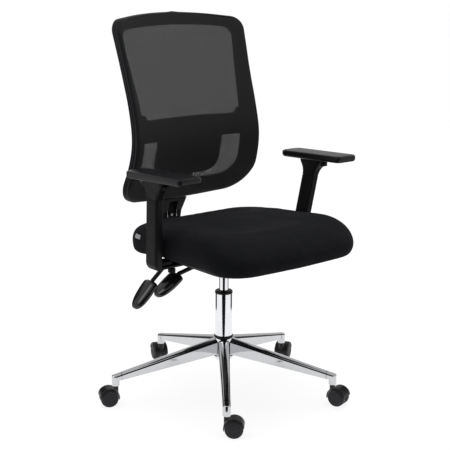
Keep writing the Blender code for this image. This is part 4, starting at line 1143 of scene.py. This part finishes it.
def bent_plate(outline, cell, setback, depth):
    """A plate with the given (x, z) outline, diced finely and bent to the back's surface."""
    bm = bmesh.new()
    bm.faces.new([bm.verts.new((p.x, 0, p.y)) for p in outline])
    for axis in (0, 2):
        low = min(v.co[axis] for v in bm.verts)
        high = max(v.co[axis] for v in bm.verts)
        cuts = max(int((high - low) / cell), 1)
        for k in range(1, cuts):
            place = Vector((0, 0, 0))
            place[axis] = low + (high - low) * k / cuts
            normal = Vector((0, 0, 0))
            normal[axis] = 1
            bmesh.ops.bisect_plane(bm, geom=bm.verts[:] + bm.edges[:] + bm.faces[:],
                                   dist=0.000001, plane_co=place, plane_no=normal)
    if depth:
        for vert in new_verts(bmesh.ops.extrude_face_region(bm, geom=bm.faces[:])):
            vert.co.y = depth
    for vert in bm.verts:
        vert.co.y += back_surface(vert.co.x, vert.co.z) + setback
    return bm


def net_outline():
    outline = [(x - math.copysign(MESH_INSET, x) if x else 0.0, z, r) for x, z, r in RIM_OUTER]
    outline[0] = (0.0, RIM_OUTER[0][1] + MESH_INSET, 0.0)
    outline[-1] = (0.0, RIM_OUTER[-1][1] - MESH_INSET, 0.0)
    for i, step in ((1, MESH_INSET), (3, -MESH_INSET)):
        x, z, r = outline[i]
        outline[i] = (x, z + step, r)
    return mirrored_outline(outline, 16)


def build_net():
    """The stretched net, its edge tucked back to the rim."""
    outline = net_outline()
    bm = bent_plate(outline, 0.009, MESH_SETBACK, 0)
    edge = [e for e in bm.edges if len(e.link_faces) == 1]
    for vert in new_verts(bmesh.ops.extrude_edge_only(bm, edges=edge)):
        vert.co.y += 0.0026
        vert.co.x *= 1.004
    net_obj = make("net_cover", bm, NET, "back", ["back_mesh"], smooth=180)


def build_carrier_trim():
    """Bright slide edges beside the channel, and two screws, on the block behind the lumbar panel."""
    bottom = extent("back_carrier")[0].z
    front = 0.2430
    for label, side in (("right", -1), ("left", 1)):
        bar = slab(0.0007, 0.0010, 0.030, 0.0004, 0.0002)
        make("slide_edge_" + label, bar, BRIGHT, "back",
             (), (side * 0.0166, front - 0.0004, bottom + 0.062))
    facing = Matrix.Rotation(math.pi / 2, 3, "X")
    for label, rise in (("low", 0.016), ("high", 0.038)):
        head = turned(((0, 0), (0.0040, 0), (0.0040, 0.0008), (0.0030, 0.0018), (0.0016, 0.0021),
                       (0.0014, 0.0012), (0, 0.0012)), 32)
        make("carrier_screw_" + label, moved(head, turn=facing), ZINC, "back",
             (), (0, front + 0.0002, bottom + rise))


def build_back():
    make("back_rim", rim_bmesh(), FRAME_NYLON, "back", ["back_frame"], smooth=30)
    panel = bent_plate(mirrored_outline(PANEL, 12), 0.010, PANEL_SETBACK, PANEL_DEPTH)
    make("lumbar_panel", panel, FRAME_NYLON, "back", ["back_frame"])
    behind = PANEL_SETBACK + PANEL_DEPTH - 0.001
    housing = bent_plate(mirrored_outline(HOUSING, 12), 0.010, behind, HOUSING_DEPTH)
    make("lumbar_housing", housing, FRAME_NYLON, "back", ["back_frame"])
    build_net()
    build_carrier_trim()
    build_spine()


# ---------------------------------------------------------------- camera, floor and light
CAMERA_PLACE = Vector((-1.9254, -2.3097, 1.1920))


def build_camera():
    data = bpy.data.cameras.new("camera")
    data.lens = 88.0
    data.sensor_width = 36.0
    camera = added("camera", data)
    camera.location = AXIS + CAMERA_PLACE
    camera.rotation_euler = (math.radians(76.94), math.radians(-0.273), math.radians(-39.799))
    bpy.context.scene.camera = camera


def panel_light(name, place, target, size, power):
    data = bpy.data.lights.new(name, "AREA")
    data.shape = "RECTANGLE"
    data.size, data.size_y = size
    data.energy = power
    light = added(name, data)
    light.location = AXIS + Vector(place)
    light.rotation_euler = (Vector(target) - Vector(place)).to_track_quat("-Z", "Y").to_euler()
    light.visible_camera = False
    return light


def card(name, corners, mat):
    """A flat studio card."""
    mesh = bpy.data.meshes.new(name)
    mesh.from_pydata([tuple(AXIS + Vector(c)) for c in corners], [], [tuple(range(len(corners)))])
    mesh.materials.append(mat)
    obj = added(name, mesh)
    return obj


def flag_card(name, corners, mat):
    """A black card that only shows in reflections."""
    obj = card(name, corners, mat)
    obj.visible_camera = False
    obj.visible_shadow = False
    obj.visible_diffuse = False
    obj.visible_transmission = False
    return obj


def upright(centre, across, half, low, high):
    """Corners of a vertical rectangle."""
    a = centre - across * half
    b = centre + across * half
    return [corner + Vector((0, 0, z)) for corner, z in ((a, low), (b, low), (b, high), (a, high))]


def build_studio():
    half = 14.0                          # the floor reaches past the horizon that the camera can see
    card("floor", [(-half, -half, 0), (half, -half, 0), (half, half, 0), (-half, half, 0)],
         floor_paper("floor_paper"))
    flag = flag_paper("black_flag", 0.004, 0.006)
    toward = Vector((CAMERA_PLACE.x, CAMERA_PLACE.y, 0)).normalized()
    side = Vector((-toward.y, toward.x, 0))
    lift = Vector((0, 0, 0.002))
    near, far, near_half, far_half = 0.50, 3.4, 0.12, 2.1
    flag_card("floor_flag", [toward * reach + side * half_width + lift for reach, half_width in
                             ((near, -near_half), (near, near_half), (far, far_half), (far, -far_half))],
              flag)
    wall_away, wall_half, wall_top = 3.6, 3.4, 3.6
    flag_card("wall_flag", upright(toward * wall_away, side, wall_half, 0, wall_top), flag)
    grey = flag_paper("grey_flag", 0.05, 0.07)
    angle = math.radians(62)
    side_away, side_half, side_top = 0.80, 0.26, 0.7
    for label, sign in (("right", -1), ("left", 1)):
        away = -toward * math.cos(angle) + side * sign * math.sin(angle)
        across = Vector((-away.y, away.x, 0))
        flag_card("side_flag_" + label, upright(away * side_away, across, side_half, 0.0, side_top), grey)
    overhead = panel_light("overhead", (0.1, 0.2, 3.0), (0, 0, 0.3), (3.6, 3.6), 60)
    overhead.visible_glossy = False
    panel_light("key", (-1.9, 0.7, 2.1), (0, 0, 0.5), (0.9, 1.4), 9)
    panel_light("fill", (2.3, -0.5, 2.2), (0, 0, 0.5), (0.9, 1.4), 7)
    sun = bpy.data.lights.new("skylight", "SUN")
    sun.energy = 1.0
    sun.angle = math.radians(70)
    added("skylight", sun).visible_glossy = False
    bpy.context.scene.world = studio_world()
    bpy.context.scene.view_settings.view_transform = "Standard"


def studio_world():
    """White surround: softer in reflections than straight to the camera."""
    world = bpy.data.worlds.new("studio")
    world.use_nodes = True
    tree = world.node_tree
    seen = tree.nodes.new("ShaderNodeLightPath")
    surround = tree.nodes["Background"]
    surround.inputs["Color"].default_value = (1, 1, 1, 1)
    surround.inputs["Strength"].default_value = 0.62
    paper = tree.nodes.new("ShaderNodeBackground")
    paper.inputs["Color"].default_value = (1, 1, 1, 1)
    paper.inputs["Strength"].default_value = 1.0
    choice = tree.nodes.new("ShaderNodeMixShader")
    tree.links.new(seen.outputs["Is Camera Ray"], choice.inputs["Fac"])
    tree.links.new(surround.outputs["Background"], choice.inputs[1])
    tree.links.new(paper.outputs["Background"], choice.inputs[2])
    tree.links.new(choice.outputs["Shader"], tree.nodes["World Output"].inputs["Surface"])
    return world


# ---------------------------------------------------------------- nodes kept from the CAD
def paint_kept_nodes():
    finishes = {"guide_sleeve": WHITE_NYLON, "thrust_bearing": ZINC, "gas_rod": ZINC, "recline_pin": ZINC,
                "mechanism_body": COAT, "back_carrier": FRAME_NYLON}
    for k in range(1, 6):
        finishes["caster_%d_stem" % k] = ZINC
        finishes["caster_%d_axle" % k] = ZINC
    for node, mat in finishes.items():
        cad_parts[node].data.materials.clear()
        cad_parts[node].data.materials.append(mat)


build_camera()
build_studio()
paint_kept_nodes()
build_base()
build_casters()
build_seat()
for lever_name, lever_shape in LEVERS.items():
    build_lever(lever_name, lever_shape)
build_arm("right", -1)
build_arm("left", 1)
build_back()
